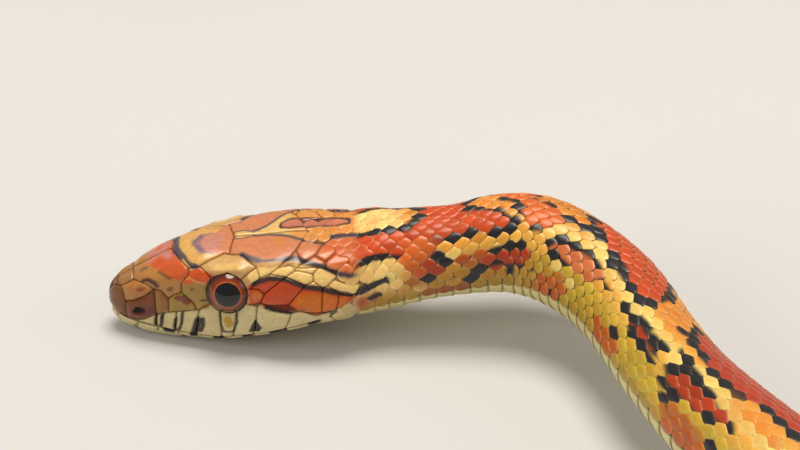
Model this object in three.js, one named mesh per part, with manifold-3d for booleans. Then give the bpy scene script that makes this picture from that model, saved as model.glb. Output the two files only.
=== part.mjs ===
// Corn snake, life size, lying with its chin and belly on a flat floor and its neck raised.
// Millimetres, +Z up. The snout points along -X and the floor is z = 0.

import * as THREE from "three";
import { mergeVertices } from "three/addons/utils/BufferGeometryUtils.js";
import Module from "manifold-3d";

const wasm = await Module();
wasm.setup();

// Driving dimensions. s is the length along the back from the tip of the snout.
const TOTAL_LENGTH = 820;
const TAIL_LENGTH = 125;
const VENT = TOTAL_LENGTH - TAIL_LENGTH;
const HEAD_END = 24.5;
const NODE_GAP = 0.3;
const SNOUT_X = -139.64;
const SNOUT_Y = -58.45;
const SNOUT_HEADING = 1;

// Turns of the body seen from above: centre, length and angle in degrees, anticlockwise positive.
const BENDS = [
  { at: 33, length: 12, turn: 4 },
  { at: 42, length: 12.5, turn: -48.5 },
  { at: 51.7, length: 14.5, turn: -27.5 },
  { at: 67, length: 28, turn: 11 },
  { at: 144, length: 104, turn: 150 },
  { at: 296, length: 150, turn: 98 },
  { at: 444, length: 118, turn: -196 },
  { at: 560, length: 110, turn: 50 },
  { at: 662, length: 110, turn: -66 },
  { at: 760, length: 90, turn: 64 },
];

// Height of the underside over the floor, then the sideways lean of the head and the twist of
// the raised stretch in degrees.
const LIFT = [
  [0, 0], [6, 0], [10, 0.1], [14, 0.9], [18, 1.85], [22, 2.4], [27, 3.4], [32, 4.6],
  [37, 5.05], [42, 4.7], [47, 4.2], [56, 3.75], [80, 3.65], [100, 2.5], [118, 0], [900, 0],
];
const LEAN = [[0, 5], [22, 5], [36, 0], [900, 0]];
const TWIST = [
  [0, 0], [32, 0], [40, -14], [58, -30], [80, -28], [102, -8], [114, 0], [900, 0],
];

// Half width of the body behind the head.
const HALF_WIDTH = [
  [24, 5.5], [28, 4.55], [33, 4.25], [37, 4.6], [42, 4.95], [47, 4.8], [52, 4.7], [58, 4.55],
  [66, 4.6], [74, 4.95], [84, 5.5], [94, 5.85], [106, 5.8], [140, 6.2], [220, 7.6], [330, 9],
  [480, 9], [600, 7.6], [VENT, 5.4], [720, 4.6], [770, 2.6], [812, 0.8], [TOTAL_LENGTH, 0.3],
];

// Body section: a loaf with a flat belly.
const BACK_POWER = 2.15;
const BELLY_POWER = 2.9;
const BELLY_FLAT = 0.93;
const HEIGHT_TO_WIDTH = 0.94;
const WIDEST_AT = 0.46;

// Head outline: stations back from the snout, then half width and height of each line.
const STATION = [0, 0.5, 1.6, 3.6, 6.5, 9.5, 12, 15, 18.5, 22, 25, 29];
const HEAD_LINES = {
  crown: {
    y: [0, 0, 0, 0, 0, 0, 0, 0, 0, 0, 0, 0],
    z: [3.8, 5.05, 6.1, 7.35, 8.9, 9.65, 9.5, 9.05, 8.65, 8.25, 8, 8],
  },
  brow: {
    y: [0, 0.8, 1.5, 2.25, 3, 3.8, 4.35, 4.75, 4.95, 4.75, 4.2, 3.4],
    z: [3.8, 4.85, 5.6, 6.5, 7.8, 8.55, 8.55, 8.25, 7.85, 7.45, 7.2, 7],
  },
  cheek: {
    y: [0, 1.1, 2, 2.8, 3.6, 4.4, 5, 5.75, 6.4, 6.2, 5.15, 4.5],
    z: [3.4, 3.8, 4.15, 4.45, 4.8, 5.05, 5.05, 5, 4.8, 4.6, 4.5, 4.4],
  },
  lip: {
    y: [0, 1.1, 2, 2.85, 3.75, 4.6, 5.25, 6, 6.6, 6.35, 5.1, 4.3],
    z: [2.5, 2.25, 2, 1.8, 1.6, 1.5, 1.55, 1.75, 2.2, 2.8, 3.1, 3.1],
  },
  jaw: {
    y: [0, 0.9, 1.65, 2.4, 3.1, 3.7, 4.1, 4.6, 5.3, 5.3, 4.5, 3.6],
    z: [2, 1.55, 1.25, 0.95, 0.8, 0.75, 0.75, 0.85, 1.15, 1.5, 1.5, 1.4],
  },
  base: {
    y: [0, 0.45, 1, 1.55, 2.1, 2.4, 2.5, 2.65, 2.8, 2.9, 2.6, 2.2],
    z: [1.9, 1.1, 0.6, 0.2, 0, 0, 0, 0, 0, 0, 0, 0],
  },
  chin: {
    y: [0, 0, 0, 0, 0, 0, 0, 0, 0, 0, 0, 0],
    z: [1.9, 1.05, 0.5, 0.1, 0, 0, 0, 0, 0, 0, 0, 0],
  },
};

// Eyes and nostrils.
const EYE_AT = 11.5;
const EYE_HEIGHT = 6.4;
const EYE_RADIUS = 2.4;
const EYE_INSET = 1.3;
const SOCKET_GAP = 0.25;
const NOSTRIL_AT = 3.0;
const NOSTRIL_HEIGHT = 4.6;
const NOSTRIL_RADIUS = 0.42;

// Fineness of the facets.
const HEAD_SPAN_STEPS = 4;
const JAW_SPAN_STEPS = 3;
const NECK_HALF_STEPS = 18;
const BODY_HALF_STEPS = 9;

// Where the body is divided.
const NECK_END = 37;
const TRUNK_ENDS = [49, 61, 98, 128, 158, 204, 258, 306, 356, 400, 430, 460, 504, 552, 622, VENT];
const TAIL_ENDS = [738, 780, TOTAL_LENGTH];

const radians = (degrees) => (degrees * Math.PI) / 180;

function smoothStep(a, b, x) {
  const t = Math.min(1, Math.max(0, (x - a) / (b - a)));
  return t * t * (3 - 2 * t);
}

// A smooth curve through points that never swings past them.
function curve(points) {
  const x = points.map((p) => p[0]);
  const y = points.map((p) => p[1]);
  const last = x.length - 1;
  const step = x.slice(1).map((v, i) => v - x[i]);
  const rise = step.map((h, i) => (y[i + 1] - y[i]) / h);
  const slope = [rise[0]];
  for (let i = 1; i < last; i++) {
    const w1 = 2 * step[i] + step[i - 1];
    const w2 = step[i] + 2 * step[i - 1];
    const same = rise[i - 1] * rise[i] > 0;
    slope.push(same ? (w1 + w2) / (w1 / rise[i - 1] + w2 / rise[i]) : 0);
  }
  slope.push(rise[last - 1]);
  return (at) => {
    const v = Math.min(x[last], Math.max(x[0], at));
    let i = 0;
    while (i < last - 1 && v >= x[i + 1]) i++;
    const t = (v - x[i]) / step[i];
    const a = y[i] * (1 + 2 * t) * (1 - t) ** 2 + y[i + 1] * t * t * (3 - 2 * t);
    return a + step[i] * t * (1 - t) * (slope[i] * (1 - t) - slope[i + 1] * t);
  };
}

const halfWidth = curve(HALF_WIDTH);
const lift = curve(LIFT);
const lean = curve(LEAN);
const twist = curve(TWIST);

function heading(s) {
  const turns = BENDS.map((b) => b.turn * smoothStep(b.at - b.length / 2, b.at + b.length / 2, s));
  return radians(SNOUT_HEADING + turns.reduce((sum, v) => sum + v, 0));
}

// The back line seen from above, summed in short steps.
const SPINE_STEP = 0.25;
const spineX = [SNOUT_X];
const spineY = [SNOUT_Y];
for (let s = SPINE_STEP; s <= TOTAL_LENGTH + SPINE_STEP; s += SPINE_STEP) {
  const middle = heading(s - SPINE_STEP / 2);
  spineX.push(spineX.at(-1) + Math.cos(middle) * SPINE_STEP);
  spineY.push(spineY.at(-1) + Math.sin(middle) * SPINE_STEP);
}

function spine(s) {
  const i = Math.min(spineX.length - 2, Math.floor(s / SPINE_STEP));
  const t = s / SPINE_STEP - i;
  return {
    x: spineX[i] * (1 - t) + spineX[i + 1] * t,
    y: spineY[i] * (1 - t) + spineY[i + 1] * t,
    heading: heading(s),
  };
}

// Puts a section point, y to the snake's left and z over its underside, into the room.
function place(s, [y, z], middle) {
  const at = spine(s);
  const turn = radians(twist(s));
  const out = y - z * Math.tan(radians(lean(s)));
  const side = out * Math.cos(turn) + (z - middle) * Math.sin(turn);
  const up = (z - middle) * Math.cos(turn) - out * Math.sin(turn) + middle;
  const x = at.x + side * Math.sin(at.heading);
  return new THREE.Vector3(x, at.y - side * Math.cos(at.heading), up + lift(s));
}

// Half of the body's section, from the middle of the back to the middle of the belly.
function bodyHalf(s, steps) {
  const w = halfWidth(s);
  const height = 2 * w * HEIGHT_TO_WIDTH;
  const points = [];
  for (let i = 0; i <= steps; i++) {
    const angle = (Math.PI * i) / steps;
    const c = Math.cos(angle);
    const power = 2 / (c >= 0 ? BACK_POWER : BELLY_POWER);
    const y = w * Math.abs(Math.sin(angle)) ** power;
    const top = (1 - WIDEST_AT) * height * Math.abs(c) ** power;
    const bottom = -(Math.min(Math.abs(c) ** power, BELLY_FLAT) / BELLY_FLAT) * WIDEST_AT * height;
    points.push([y, (c >= 0 ? top : bottom) + WIDEST_AT * height]);
  }
  return points;
}

// The head's lines run on a root scale, so that they round off at the snout.
const rootOf = (s) => Math.sqrt(Math.max(0, s));
const headLines = Object.values(HEAD_LINES).map((line) => ({
  y: curve(STATION.map((s, i) => [rootOf(s), line.y[i]])),
  z: curve(STATION.map((s, i) => [rootOf(s), line.z[i]])),
}));
const headPoints = (s) => headLines.map((line) => [line.y(rootOf(s)), line.z(rootOf(s))]);

// A smooth line through section points, with both ends on the middle line.
function through(points, steps) {
  const mirrored = [[-points[1][0], points[1][1]], ...points, [-points.at(-2)[0], points.at(-2)[1]]];
  const nodes = mirrored.map(([y, z]) => new THREE.Vector3(y, z, 0));
  const result = [];
  for (let i = 1; i < nodes.length - 2; i++) {
    const [a, b, c, d] = nodes.slice(i - 1, i + 3);
    const before = Math.sqrt(a.distanceTo(b)) + 1e-6;
    const here = Math.sqrt(b.distanceTo(c)) + 1e-6;
    const after = Math.sqrt(c.distanceTo(d)) + 1e-6;
    for (let j = 0; j < steps; j++) {
      const t = j / steps;
      const value = ["x", "y"].map((axis) => {
        const span = c[axis] - b[axis];
        const into = (b[axis] - a[axis]) / before - (c[axis] - a[axis]) / (before + here);
        const out = (d[axis] - c[axis]) / after - (d[axis] - b[axis]) / (here + after);
        const start = span + here * into;
        const end = span + here * out;
        const blend = b[axis] * (2 * t ** 3 - 3 * t ** 2 + 1) + c[axis] * (3 * t ** 2 - 2 * t ** 3);
        return blend + start * (t ** 3 - 2 * t ** 2 + t) + end * (t ** 3 - t ** 2);
      });
      result.push(value);
    }
  }
  result.push(points.at(-1));
  return result.map(([y, z]) => [y, Math.max(0, z)]);
}

// A half section becomes a closed ring: the left side down, then the right side up.
function mirror(half) {
  const onMiddle = (p) => Math.abs(p[0]) < 1e-6;
  const right = half.filter((p) => !onMiddle(p)).map(([y, z]) => [-y, z]);
  return [...half, ...right.reverse()];
}

function upperHeadRing(s) {
  const lines = headPoints(s);
  return mirror(through(lines, HEAD_SPAN_STEPS).slice(0, 3 * HEAD_SPAN_STEPS + 1));
}

function lowerJawRing(s) {
  const lines = headPoints(s);
  const [, , , lip, jaw] = lines;
  const rim = [jaw[0] * 0.97, Math.max(jaw[1] + 0.15, lip[1] - NODE_GAP)];
  const outline = through(lines, JAW_SPAN_STEPS).slice(4 * JAW_SPAN_STEPS);
  return mirror([[0, rim[1]], rim, ...outline]);
}

function neckRing(s) {
  const head = through(headPoints(s), NECK_HALF_STEPS / 6);
  const body = bodyHalf(s, NECK_HALF_STEPS);
  const share = smoothStep(23.5, 29, s);
  return mirror(head.map((p, i) => [
    p[0] * (1 - share) + body[i][0] * share,
    p[1] * (1 - share) + body[i][1] * share,
  ]));
}

const bodyRing = (s) => mirror(bodyHalf(s, BODY_HALF_STEPS));

// Skins a row of rings and closes both ends.
function loft(stations, ringAt) {
  const rings = stations.map((s) => {
    const ring = ringAt(s);
    const top = Math.max(...ring.map((p) => p[1]));
    return ring.map((p) => place(s, p, top / 2));
  });
  const count = rings[0].length;
  const positions = rings.flat().flatMap((p) => [p.x, p.y, p.z]);
  const faces = [];
  for (let i = 0; i < rings.length - 1; i++) {
    for (let j = 0; j < count; j++) {
      const a = i * count + j;
      const b = i * count + ((j + 1) % count);
      faces.push(a, a + count, b, b, a + count, b + count);
    }
  }
  for (const [ring, flip] of [[0, false], [rings.length - 1, true]]) {
    const centre = positions.length / 3;
    const mean = rings[ring].reduce((sum, p) => sum.add(p), new THREE.Vector3()).divideScalar(count);
    positions.push(mean.x, mean.y, mean.z);
    for (let j = 0; j < count; j++) {
      const a = ring * count + j;
      const b = ring * count + ((j + 1) % count);
      faces.push(centre, ...(flip ? [b, a] : [a, b]));
    }
  }
  const geometry = new THREE.BufferGeometry();
  geometry.setAttribute("position", new THREE.Float32BufferAttribute(positions, 3));
  geometry.setIndex(signedVolume(positions, faces) < 0 ? flipped(faces) : faces);
  return geometry;
}

function signedVolume(positions, faces) {
  let sum = 0;
  for (let i = 0; i < faces.length; i += 3) {
    const [a, b, c] = faces.slice(i, i + 3).map((v) => new THREE.Vector3().fromArray(positions, v * 3));
    sum += a.dot(b.cross(c));
  }
  return sum;
}

function flipped(faces) {
  const result = [];
  for (let i = 0; i < faces.length; i += 3) result.push(faces[i], faces[i + 2], faces[i + 1]);
  return result;
}

// Evenly spaced stations from one end to the other.
function stations(from, to, spacing) {
  const count = Math.max(1, Math.ceil((to - from) / spacing));
  return Array.from({ length: count + 1 }, (_, i) => from + ((to - from) * i) / count);
}

// Stations on the root scale, closer together towards the snout.
function headStations(from, to, count) {
  const a = rootOf(from);
  const b = rootOf(to);
  return Array.from({ length: count + 1 }, (_, i) => (a + ((b - a) * i) / count) ** 2);
}

function toSolid(geometry) {
  const plain = new THREE.BufferGeometry();
  plain.setAttribute("position", geometry.getAttribute("position"));
  plain.setIndex(geometry.getIndex());
  const merged = mergeVertices(plain, 1e-5);
  const vertProperties = new Float32Array(merged.getAttribute("position").array);
  const triVerts = new Uint32Array(merged.getIndex().array);
  return new wasm.Manifold(new wasm.Mesh({ numProp: 3, vertProperties, triVerts }));
}

function toGeometry(solid) {
  const mesh = solid.getMesh();
  const geometry = new THREE.BufferGeometry();
  geometry.setAttribute("position", new THREE.Float32BufferAttribute(mesh.vertProperties, 3));
  geometry.setIndex(Array.from(mesh.triVerts));
  return geometry;
}

function ball(centre, radius, around, down) {
  const geometry = new THREE.SphereGeometry(radius, around, down);
  geometry.translate(centre.x, centre.y, centre.z);
  return geometry;
}

// The place on the side of the head at a given height, pushed in by a given depth.
function sidePoint(s, height, inset, side) {
  const half = through(headPoints(s), 12);
  let width = 0;
  for (let i = 0; i < half.length - 1; i++) {
    const [y1, z1] = half[i];
    const [y2, z2] = half[i + 1];
    if ((z1 - height) * (z2 - height) <= 0) {
      width = Math.max(width, y1 + ((y2 - y1) * (z1 - height)) / (z1 - z2 || 1));
    }
  }
  return place(s, [side * (width - inset), height], height);
}

const SKIN = { roughness: 0.42, metalness: 0 };
const group = new THREE.Group();

function add(name, geometry, material) {
  geometry.computeVertexNormals();
  const mesh = new THREE.Mesh(geometry, new THREE.MeshStandardMaterial(material));
  mesh.name = name;
  group.add(mesh);
}

// Head, cut out for the eyes and the nostrils.
let head = toSolid(loft(headStations(0.12, HEAD_END, 22), upperHeadRing));
for (const side of [1, -1]) {
  const eye = sidePoint(EYE_AT, EYE_HEIGHT, EYE_INSET, side);
  const nostril = sidePoint(NOSTRIL_AT, NOSTRIL_HEIGHT, 0, side);
  head = head.subtract(toSolid(ball(eye, EYE_RADIUS + SOCKET_GAP, 20, 14)));
  head = head.subtract(toSolid(ball(nostril, NOSTRIL_RADIUS, 10, 8)));
  const eyeName = side > 0 ? "eye_left" : "eye_right";
  add(eyeName, ball(eye, EYE_RADIUS, 16, 12), { color: 0x8a3d1c, roughness: 0.08, metalness: 0 });
}
add("head", toGeometry(head), { color: 0xc07a45, ...SKIN });
add("lower_jaw", loft(headStations(0.5, HEAD_END, 18), lowerJawRing), { color: 0xd8cda6, ...SKIN });

// Neck, trunk and tail in lengths that each bend only a little.
add("neck", loft(stations(HEAD_END + NODE_GAP, NECK_END, 2.1), neckRing), { color: 0xc4582f, ...SKIN });

let from = NECK_END;
TRUNK_ENDS.forEach((to, i) => {
  const name = `trunk_${String(i + 1).padStart(2, "0")}`;
  const spacing = i < 2 ? 2 : 6.4;
  const colour = i % 2 ? 0xd9a052 : 0xc2512c;
  add(name, loft(stations(from + NODE_GAP, to, spacing), bodyRing), { color: colour, ...SKIN });
  from = to;
});
TAIL_ENDS.forEach((to, i) => {
  const name = `tail_${i + 1}`;
  add(name, loft(stations(from + NODE_GAP, to, 7), bodyRing), { color: 0xcb7a3c, ...SKIN });
  from = to;
});

export default group;
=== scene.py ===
"""Corn snake, life size, lying still: one skin, head plates, small scales, belly plates and glossy eyes."""

import math

import bpy
import numpy as np
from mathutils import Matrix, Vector
from mathutils.geometry import delaunay_2d_cdt


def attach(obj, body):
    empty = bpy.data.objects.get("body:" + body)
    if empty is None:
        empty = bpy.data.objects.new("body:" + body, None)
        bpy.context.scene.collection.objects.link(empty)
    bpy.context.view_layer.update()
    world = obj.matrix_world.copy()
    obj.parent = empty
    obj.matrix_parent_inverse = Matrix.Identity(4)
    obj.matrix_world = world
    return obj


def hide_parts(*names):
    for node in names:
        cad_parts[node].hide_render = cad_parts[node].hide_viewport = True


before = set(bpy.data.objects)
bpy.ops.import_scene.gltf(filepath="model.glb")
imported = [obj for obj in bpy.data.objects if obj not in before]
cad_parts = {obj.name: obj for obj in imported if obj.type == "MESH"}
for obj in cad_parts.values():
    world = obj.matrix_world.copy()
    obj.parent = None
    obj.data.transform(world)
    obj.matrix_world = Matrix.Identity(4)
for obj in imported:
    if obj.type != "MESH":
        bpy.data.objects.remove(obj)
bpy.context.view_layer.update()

MM = 0.001
rng = np.random.default_rng(7)

# Lengths below are in millimetres. s runs along the back from the tip of the snout. t counts the
# head's lines from 0 at the middle of the back, past 3 at the lip, to 6 under the chin, + on the left.
# v is the share of the half girth, 0 at the back and 1 under the belly, + on the left.
TOTAL_LENGTH = 820.0
VENT = 695.0
SNOUT = (-139.64, -58.45)
SNOUT_HEADING = 1.0
# Each bend: s of its middle, its length, and its turn in degrees, + anticlockwise seen from above.
BENDS = (
    (33, 12, 4), (42, 12.5, -48.5), (51.7, 14.5, -27.5), (67, 28, 11), (144, 104, 150),
    (296, 150, 98), (444, 118, -196), (560, 110, 50), (662, 110, -66), (760, 90, 64),
)
# By s: height of the underside over the floor, lean and twist in degrees, and half width.
LIFT = (
    (0, 0), (6, 0), (10, 0.1), (14, 0.9), (18, 1.85), (22, 2.4), (27, 3.4), (32, 4.6),
    (37, 5.05), (42, 4.7), (47, 4.2), (56, 3.75), (80, 3.65), (100, 2.5), (118, 0), (900, 0),
)
LEAN = ((0, 5), (22, 5), (36, 0), (900, 0))
TWIST = ((0, 0), (32, 0), (40, -14), (58, -30), (80, -28), (102, -8), (114, 0), (900, 0))
HALF_WIDTH = (
    (24, 5.5), (28, 4.55), (33, 4.25), (37, 4.6), (42, 4.95), (47, 4.8), (52, 4.7), (58, 4.55),
    (66, 4.6), (74, 4.95), (84, 5.5), (94, 5.85), (106, 5.8), (140, 6.2), (220, 7.6), (330, 9.0),
    (480, 9.0), (600, 7.6), (VENT, 5.4), (720, 4.6), (770, 2.6), (812, 0.8), (TOTAL_LENGTH, 0.3),
)
# The body's section: how square it is over and under its widest line, and where that line is.
BACK_POWER = 2.15
BELLY_POWER = 2.9
BELLY_FLAT = 0.93
HEIGHT_TO_WIDTH = 0.94
WIDEST_AT = 0.46
# The head's lines at each station s: distance from the middle plane, and height.
STATION = (0, 0.5, 1.6, 3.6, 6.5, 9.5, 12, 15, 18.5, 22, 25, 29)
HEAD_LINES = {
    "crown": (
        (0,) * 12,
        (3.8, 5.05, 6.1, 7.35, 8.9, 9.65, 9.5, 9.05, 8.65, 8.25, 8.0, 8.0),
    ),
    "brow": (
        (0, 0.8, 1.5, 2.25, 3.0, 3.8, 4.35, 4.75, 4.95, 4.75, 4.2, 3.4),
        (3.8, 4.85, 5.6, 6.5, 7.8, 8.55, 8.55, 8.25, 7.85, 7.45, 7.2, 7.0),
    ),
    "cheek": (
        (0, 1.1, 2.0, 2.8, 3.6, 4.4, 5.0, 5.75, 6.4, 6.2, 5.15, 4.5),
        (3.4, 3.8, 4.15, 4.45, 4.8, 5.05, 5.05, 5.0, 4.8, 4.6, 4.5, 4.4),
    ),
    "lip": (
        (0, 1.1, 2.0, 2.85, 3.75, 4.6, 5.25, 6.0, 6.6, 6.35, 5.1, 4.3),
        (2.5, 2.25, 2.0, 1.8, 1.6, 1.5, 1.55, 1.75, 2.2, 2.8, 3.1, 3.1),
    ),
    "jaw": (
        (0, 0.9, 1.65, 2.4, 3.1, 3.7, 4.1, 4.6, 5.3, 5.3, 4.5, 3.6),
        (2.0, 1.55, 1.25, 0.95, 0.8, 0.75, 0.75, 0.85, 1.15, 1.5, 1.5, 1.4),
    ),
    "base": (
        (0, 0.45, 1.0, 1.55, 2.1, 2.4, 2.5, 2.65, 2.8, 2.9, 2.6, 2.2),
        (1.9, 1.1, 0.6, 0.2, 0, 0, 0, 0, 0, 0, 0, 0),
    ),
    "chin": (
        (0,) * 12,
        (1.9, 1.05, 0.5, 0.1, 0, 0, 0, 0, 0, 0, 0, 0),
    ),
}
# The head's lines give way to the body's section between these.
NECK_BLEND = (23.5, 29.0)

# The coat lies on a skin this deep inside the solids.
SKIN_DEPTH = 0.24

# Eyes: where their middles are as s and t, and their sizes.
EYE_AT = 11.36
EYE_LINE = 1.695
EYE_RADIUS = 2.33
EYE_INSET = 1.2
EYE_CLEARANCE = 0.06
SOCKET_RADIUS = 2.43

# Small scales: 23 rows over the back and sides, fewer towards the tail. Row 0 is the middle of the
# back, + on the left. The belly plates start at row 12.
BACK_SHARE = 0.735
SIDE_ROWS = 11
ROW_PLACES = (0, 1, 2, 3, 4, 5, 6, 7, 8, 9.02, 10.08, 11.2, 12.45, 13.1)
# Rows on each side by index.
ROWS_AT = (
    (0, SIDE_ROWS), (200, SIDE_ROWS), (201, 10), (225, 10), (226, 8), (238, 8), (239, 7), (250, 7),
    (251, 6), (262, 6), (263, 5), (272, 5), (273, 4), (300, 4),
)
NECK_LATTICE_START = 17.5
NEAR_END = 63
SPAN_ENDS = (40, NEAR_END, 140, 215)
FIRST_BELLY_PLATE = 24
BELLY_SPLIT = 130

# Camera. AIM_AT is a section point of the eye, as s, left and up, and is seen at AIM_PIXEL.
CAMERA_ELEVATION = 35.0
CAMERA_DISTANCE = 600.0
PIXELS_PER_MM = 10.3
IMAGE_WIDTH = 800
IMAGE_HEIGHT = 450
AIM_AT = (11.5, 4.55, 6.4)
AIM_PIXEL = (228, 291)
SENSOR = 36.0


def smooth(a, b, x):
    """0 at a and before it, 1 at b and past it, and a smooth step between them."""
    t = np.clip((np.asarray(x, float) - a) / (b - a), 0, 1)
    return t * t * (3 - 2 * t)


def curve(points):
    """A smooth curve through points that never swings past them."""
    xs, ys = np.array(points, float).T
    step = np.diff(xs)
    rise = np.diff(ys) / step
    slope = np.zeros(len(xs))
    slope[0], slope[-1] = rise[0], rise[-1]
    for i in range(1, len(xs) - 1):
        if rise[i - 1] * rise[i] > 0:
            w1 = 2 * step[i] + step[i - 1]
            w2 = step[i] + 2 * step[i - 1]
            slope[i] = (w1 + w2) / (w1 / rise[i - 1] + w2 / rise[i])

    def at(x):
        x = np.clip(x, xs[0], xs[-1])
        i = np.clip(np.searchsorted(xs, x, side="right") - 1, 0, len(xs) - 2)
        t = (x - xs[i]) / step[i]
        level = ys[i] * (1 + 2 * t) * (1 - t) ** 2 + ys[i + 1] * t * t * (3 - 2 * t)
        return level + step[i] * t * (1 - t) * (slope[i] * (1 - t) - slope[i + 1] * t)

    return at


half_width = curve(HALF_WIDTH)
lift = curve(LIFT)
lean = curve(LEAN)
twist = curve(TWIST)


def heading(s):
    """The way the back runs at s, in radians."""
    turned = sum(turn * smooth(at - length / 2, at + length / 2, s) for at, length, turn in BENDS)
    return np.radians(SNOUT_HEADING + turned)


# The middle line of the back, added up from its heading.
SPINE_STEP = 0.25
SPINE_S = np.arange(0, TOTAL_LENGTH + 1, SPINE_STEP)
SPINE_HEADING = heading((SPINE_S[1:] + SPINE_S[:-1]) / 2)
SPINE_X = SNOUT[0] + np.concatenate([[0], np.cumsum(np.cos(SPINE_HEADING) * SPINE_STEP)])
SPINE_Y = SNOUT[1] + np.concatenate([[0], np.cumsum(np.sin(SPINE_HEADING) * SPINE_STEP)])

SPAN_STEPS = 16
HALF_STEPS = 6 * SPAN_STEPS


def loaf(t):
    """The body's section for a half width of 1, t from 0 at the back to 6 under the belly."""
    angle = np.pi * np.asarray(t, float) / 6
    c, side = np.cos(angle), np.abs(np.sin(angle))
    power = 2 / np.where(c >= 0, BACK_POWER, BELLY_POWER)
    height = 2 * HEIGHT_TO_WIDTH
    top = (1 - WIDEST_AT) * height * np.abs(c) ** power
    bottom = -np.minimum(np.abs(c) ** power, BELLY_FLAT) / BELLY_FLAT * WIDEST_AT * height
    return side ** power, np.where(c >= 0, top, bottom) + WIDEST_AT * height


def head_half(s):
    """The left half of the head's section at s, HALF_STEPS + 1 points through the head's lines."""
    root = np.sqrt(max(s, 0))
    roots = np.sqrt(STATION)
    lines = [[curve(list(zip(roots, axis)))(root) for axis in line] for line in HEAD_LINES.values()]
    points = np.array(lines)
    run = np.vstack([points[1] * [-1, 1], points, points[-2] * [-1, 1]])
    result = []
    for i in range(1, len(run) - 2):
        a, b, c, d = run[i - 1:i + 3]
        t = np.linspace(0, 1, SPAN_STEPS, endpoint=False)[:, None]
        before = np.linalg.norm(b - a) ** 0.5 + 1e-6
        here = np.linalg.norm(c - b) ** 0.5 + 1e-6
        after = np.linalg.norm(d - c) ** 0.5 + 1e-6
        start = (c - b) + here * ((b - a) / before - (c - a) / (before + here))
        end = (c - b) + here * ((d - c) / after - (d - b) / (here + after))
        blend = b * (2 * t**3 - 3 * t**2 + 1) + c * (3 * t**2 - 2 * t**3)
        result.append(blend + start * (t**3 - 2 * t**2 + t) + end * (t**3 - t**2))
    ring = np.vstack([*result, points[-1:]])
    ring[:, 1] = np.maximum(ring[:, 1], 0)
    return ring


def ring_at(s):
    """The left half section at any s up to the end of the neck blend."""
    ring = head_half(s)
    share = smooth(*NECK_BLEND, s)
    body = np.stack(loaf(RING_LINES), 1) * half_width(s)
    return ring * (1 - share) + body * share


RING_LINES = np.linspace(0, 6, HALF_STEPS + 1)
RING_STEP = 0.25
SNOUT_RINGS = np.linspace(0, 1, 13) ** 2 * 2.0
RING_S = np.concatenate([SNOUT_RINGS, np.arange(2.0 + RING_STEP, NECK_BLEND[1] + 0.01, RING_STEP)])
RINGS = np.array([ring_at(s) for s in RING_S])


def shares(points):
    """Cumulative length along each half section, as a share of the whole."""
    lengths = np.linalg.norm(np.diff(points, axis=-2), axis=-1)
    total = np.cumsum(lengths, axis=-1)
    zero = np.zeros(total.shape[:-1] + (1,))
    return np.concatenate([zero, total / total[..., -1:]], -1), total[..., -1]


RING_SHARE, RING_GIRTH = shares(RINGS)
# Tables between lines and girth shares, for each ring of the head and for the body.
SHARE_STEPS = 96
EVEN_SHARES = np.linspace(0, 1, SHARE_STEPS + 1)
RING_LINE_OF_SHARE = np.array([np.interp(EVEN_SHARES, row, RING_LINES) for row in RING_SHARE])
BODY_LINES = np.linspace(0, 6, 1201)
BODY_SHARE, BODY_GIRTH = shares(np.stack(loaf(BODY_LINES), 1))


def from_table(table, s, x):
    """table has a row for each of RING_S and is read between its rows and columns."""
    i = np.clip(np.searchsorted(RING_S, s, side="right") - 1, 0, len(RING_S) - 2)
    f = np.clip((s - RING_S[i]) / (RING_S[i + 1] - RING_S[i]), 0, 1)
    j = np.clip(np.floor(x).astype(int), 0, table.shape[1] - 2)
    g = x - j
    if table.ndim == 3:
        f, g = f[..., None], g[..., None]
    near = table[i, j] * (1 - g) + table[i, j + 1] * g
    far = table[i + 1, j] * (1 - g) + table[i + 1, j + 1] * g
    return near * (1 - f) + far * f


def line_of(s, v):
    """t of the girth share v."""
    s, v = np.broadcast_arrays(np.asarray(s, float), np.asarray(v, float))
    size = np.minimum(np.abs(v), 1)
    body = np.interp(size, BODY_SHARE, BODY_LINES)
    head = from_table(RING_LINE_OF_SHARE, np.minimum(s, NECK_BLEND[1]), size * SHARE_STEPS)
    return np.sign(v) * np.where(s < NECK_BLEND[1], head, body)


def share_of(s, t):
    """The girth share of t."""
    s, t = np.broadcast_arrays(np.asarray(s, float), np.asarray(t, float))
    size = np.minimum(np.abs(t), 6)
    body = np.interp(size, BODY_LINES, BODY_SHARE)
    head = from_table(RING_SHARE, np.minimum(s, NECK_BLEND[1]), size * SPAN_STEPS)
    return np.sign(t) * np.where(s < NECK_BLEND[1], head, body)


def half_girth(s):
    """Length round one side of the section."""
    s = np.asarray(s, float)
    head = np.interp(s, RING_S, RING_GIRTH)
    return np.where(s < NECK_BLEND[1], head, BODY_GIRTH * half_width(s))


RING_MIDDLE = RINGS[:, :, 1].max(1) / 2


def middle(s):
    """Height of the section's middle."""
    s = np.asarray(s, float)
    body = half_width(s) * HEIGHT_TO_WIDTH
    return np.where(s < NECK_BLEND[1], np.interp(s, RING_S, RING_MIDDLE), body)


def place(s, y, z):
    """Puts a section point, y to the snake's left and z over its underside, into the room."""
    turn = np.radians(twist(s))
    centre = middle(s)
    out = y - z * np.tan(np.radians(lean(s)))
    side = out * np.cos(turn) + (z - centre) * np.sin(turn)
    up = (z - centre) * np.cos(turn) - out * np.sin(turn) + centre
    along = heading(s)
    x = np.interp(s, SPINE_S, SPINE_X) + side * np.sin(along)
    return np.stack([x, np.interp(s, SPINE_S, SPINE_Y) - side * np.cos(along), up + lift(s)], -1)


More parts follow.
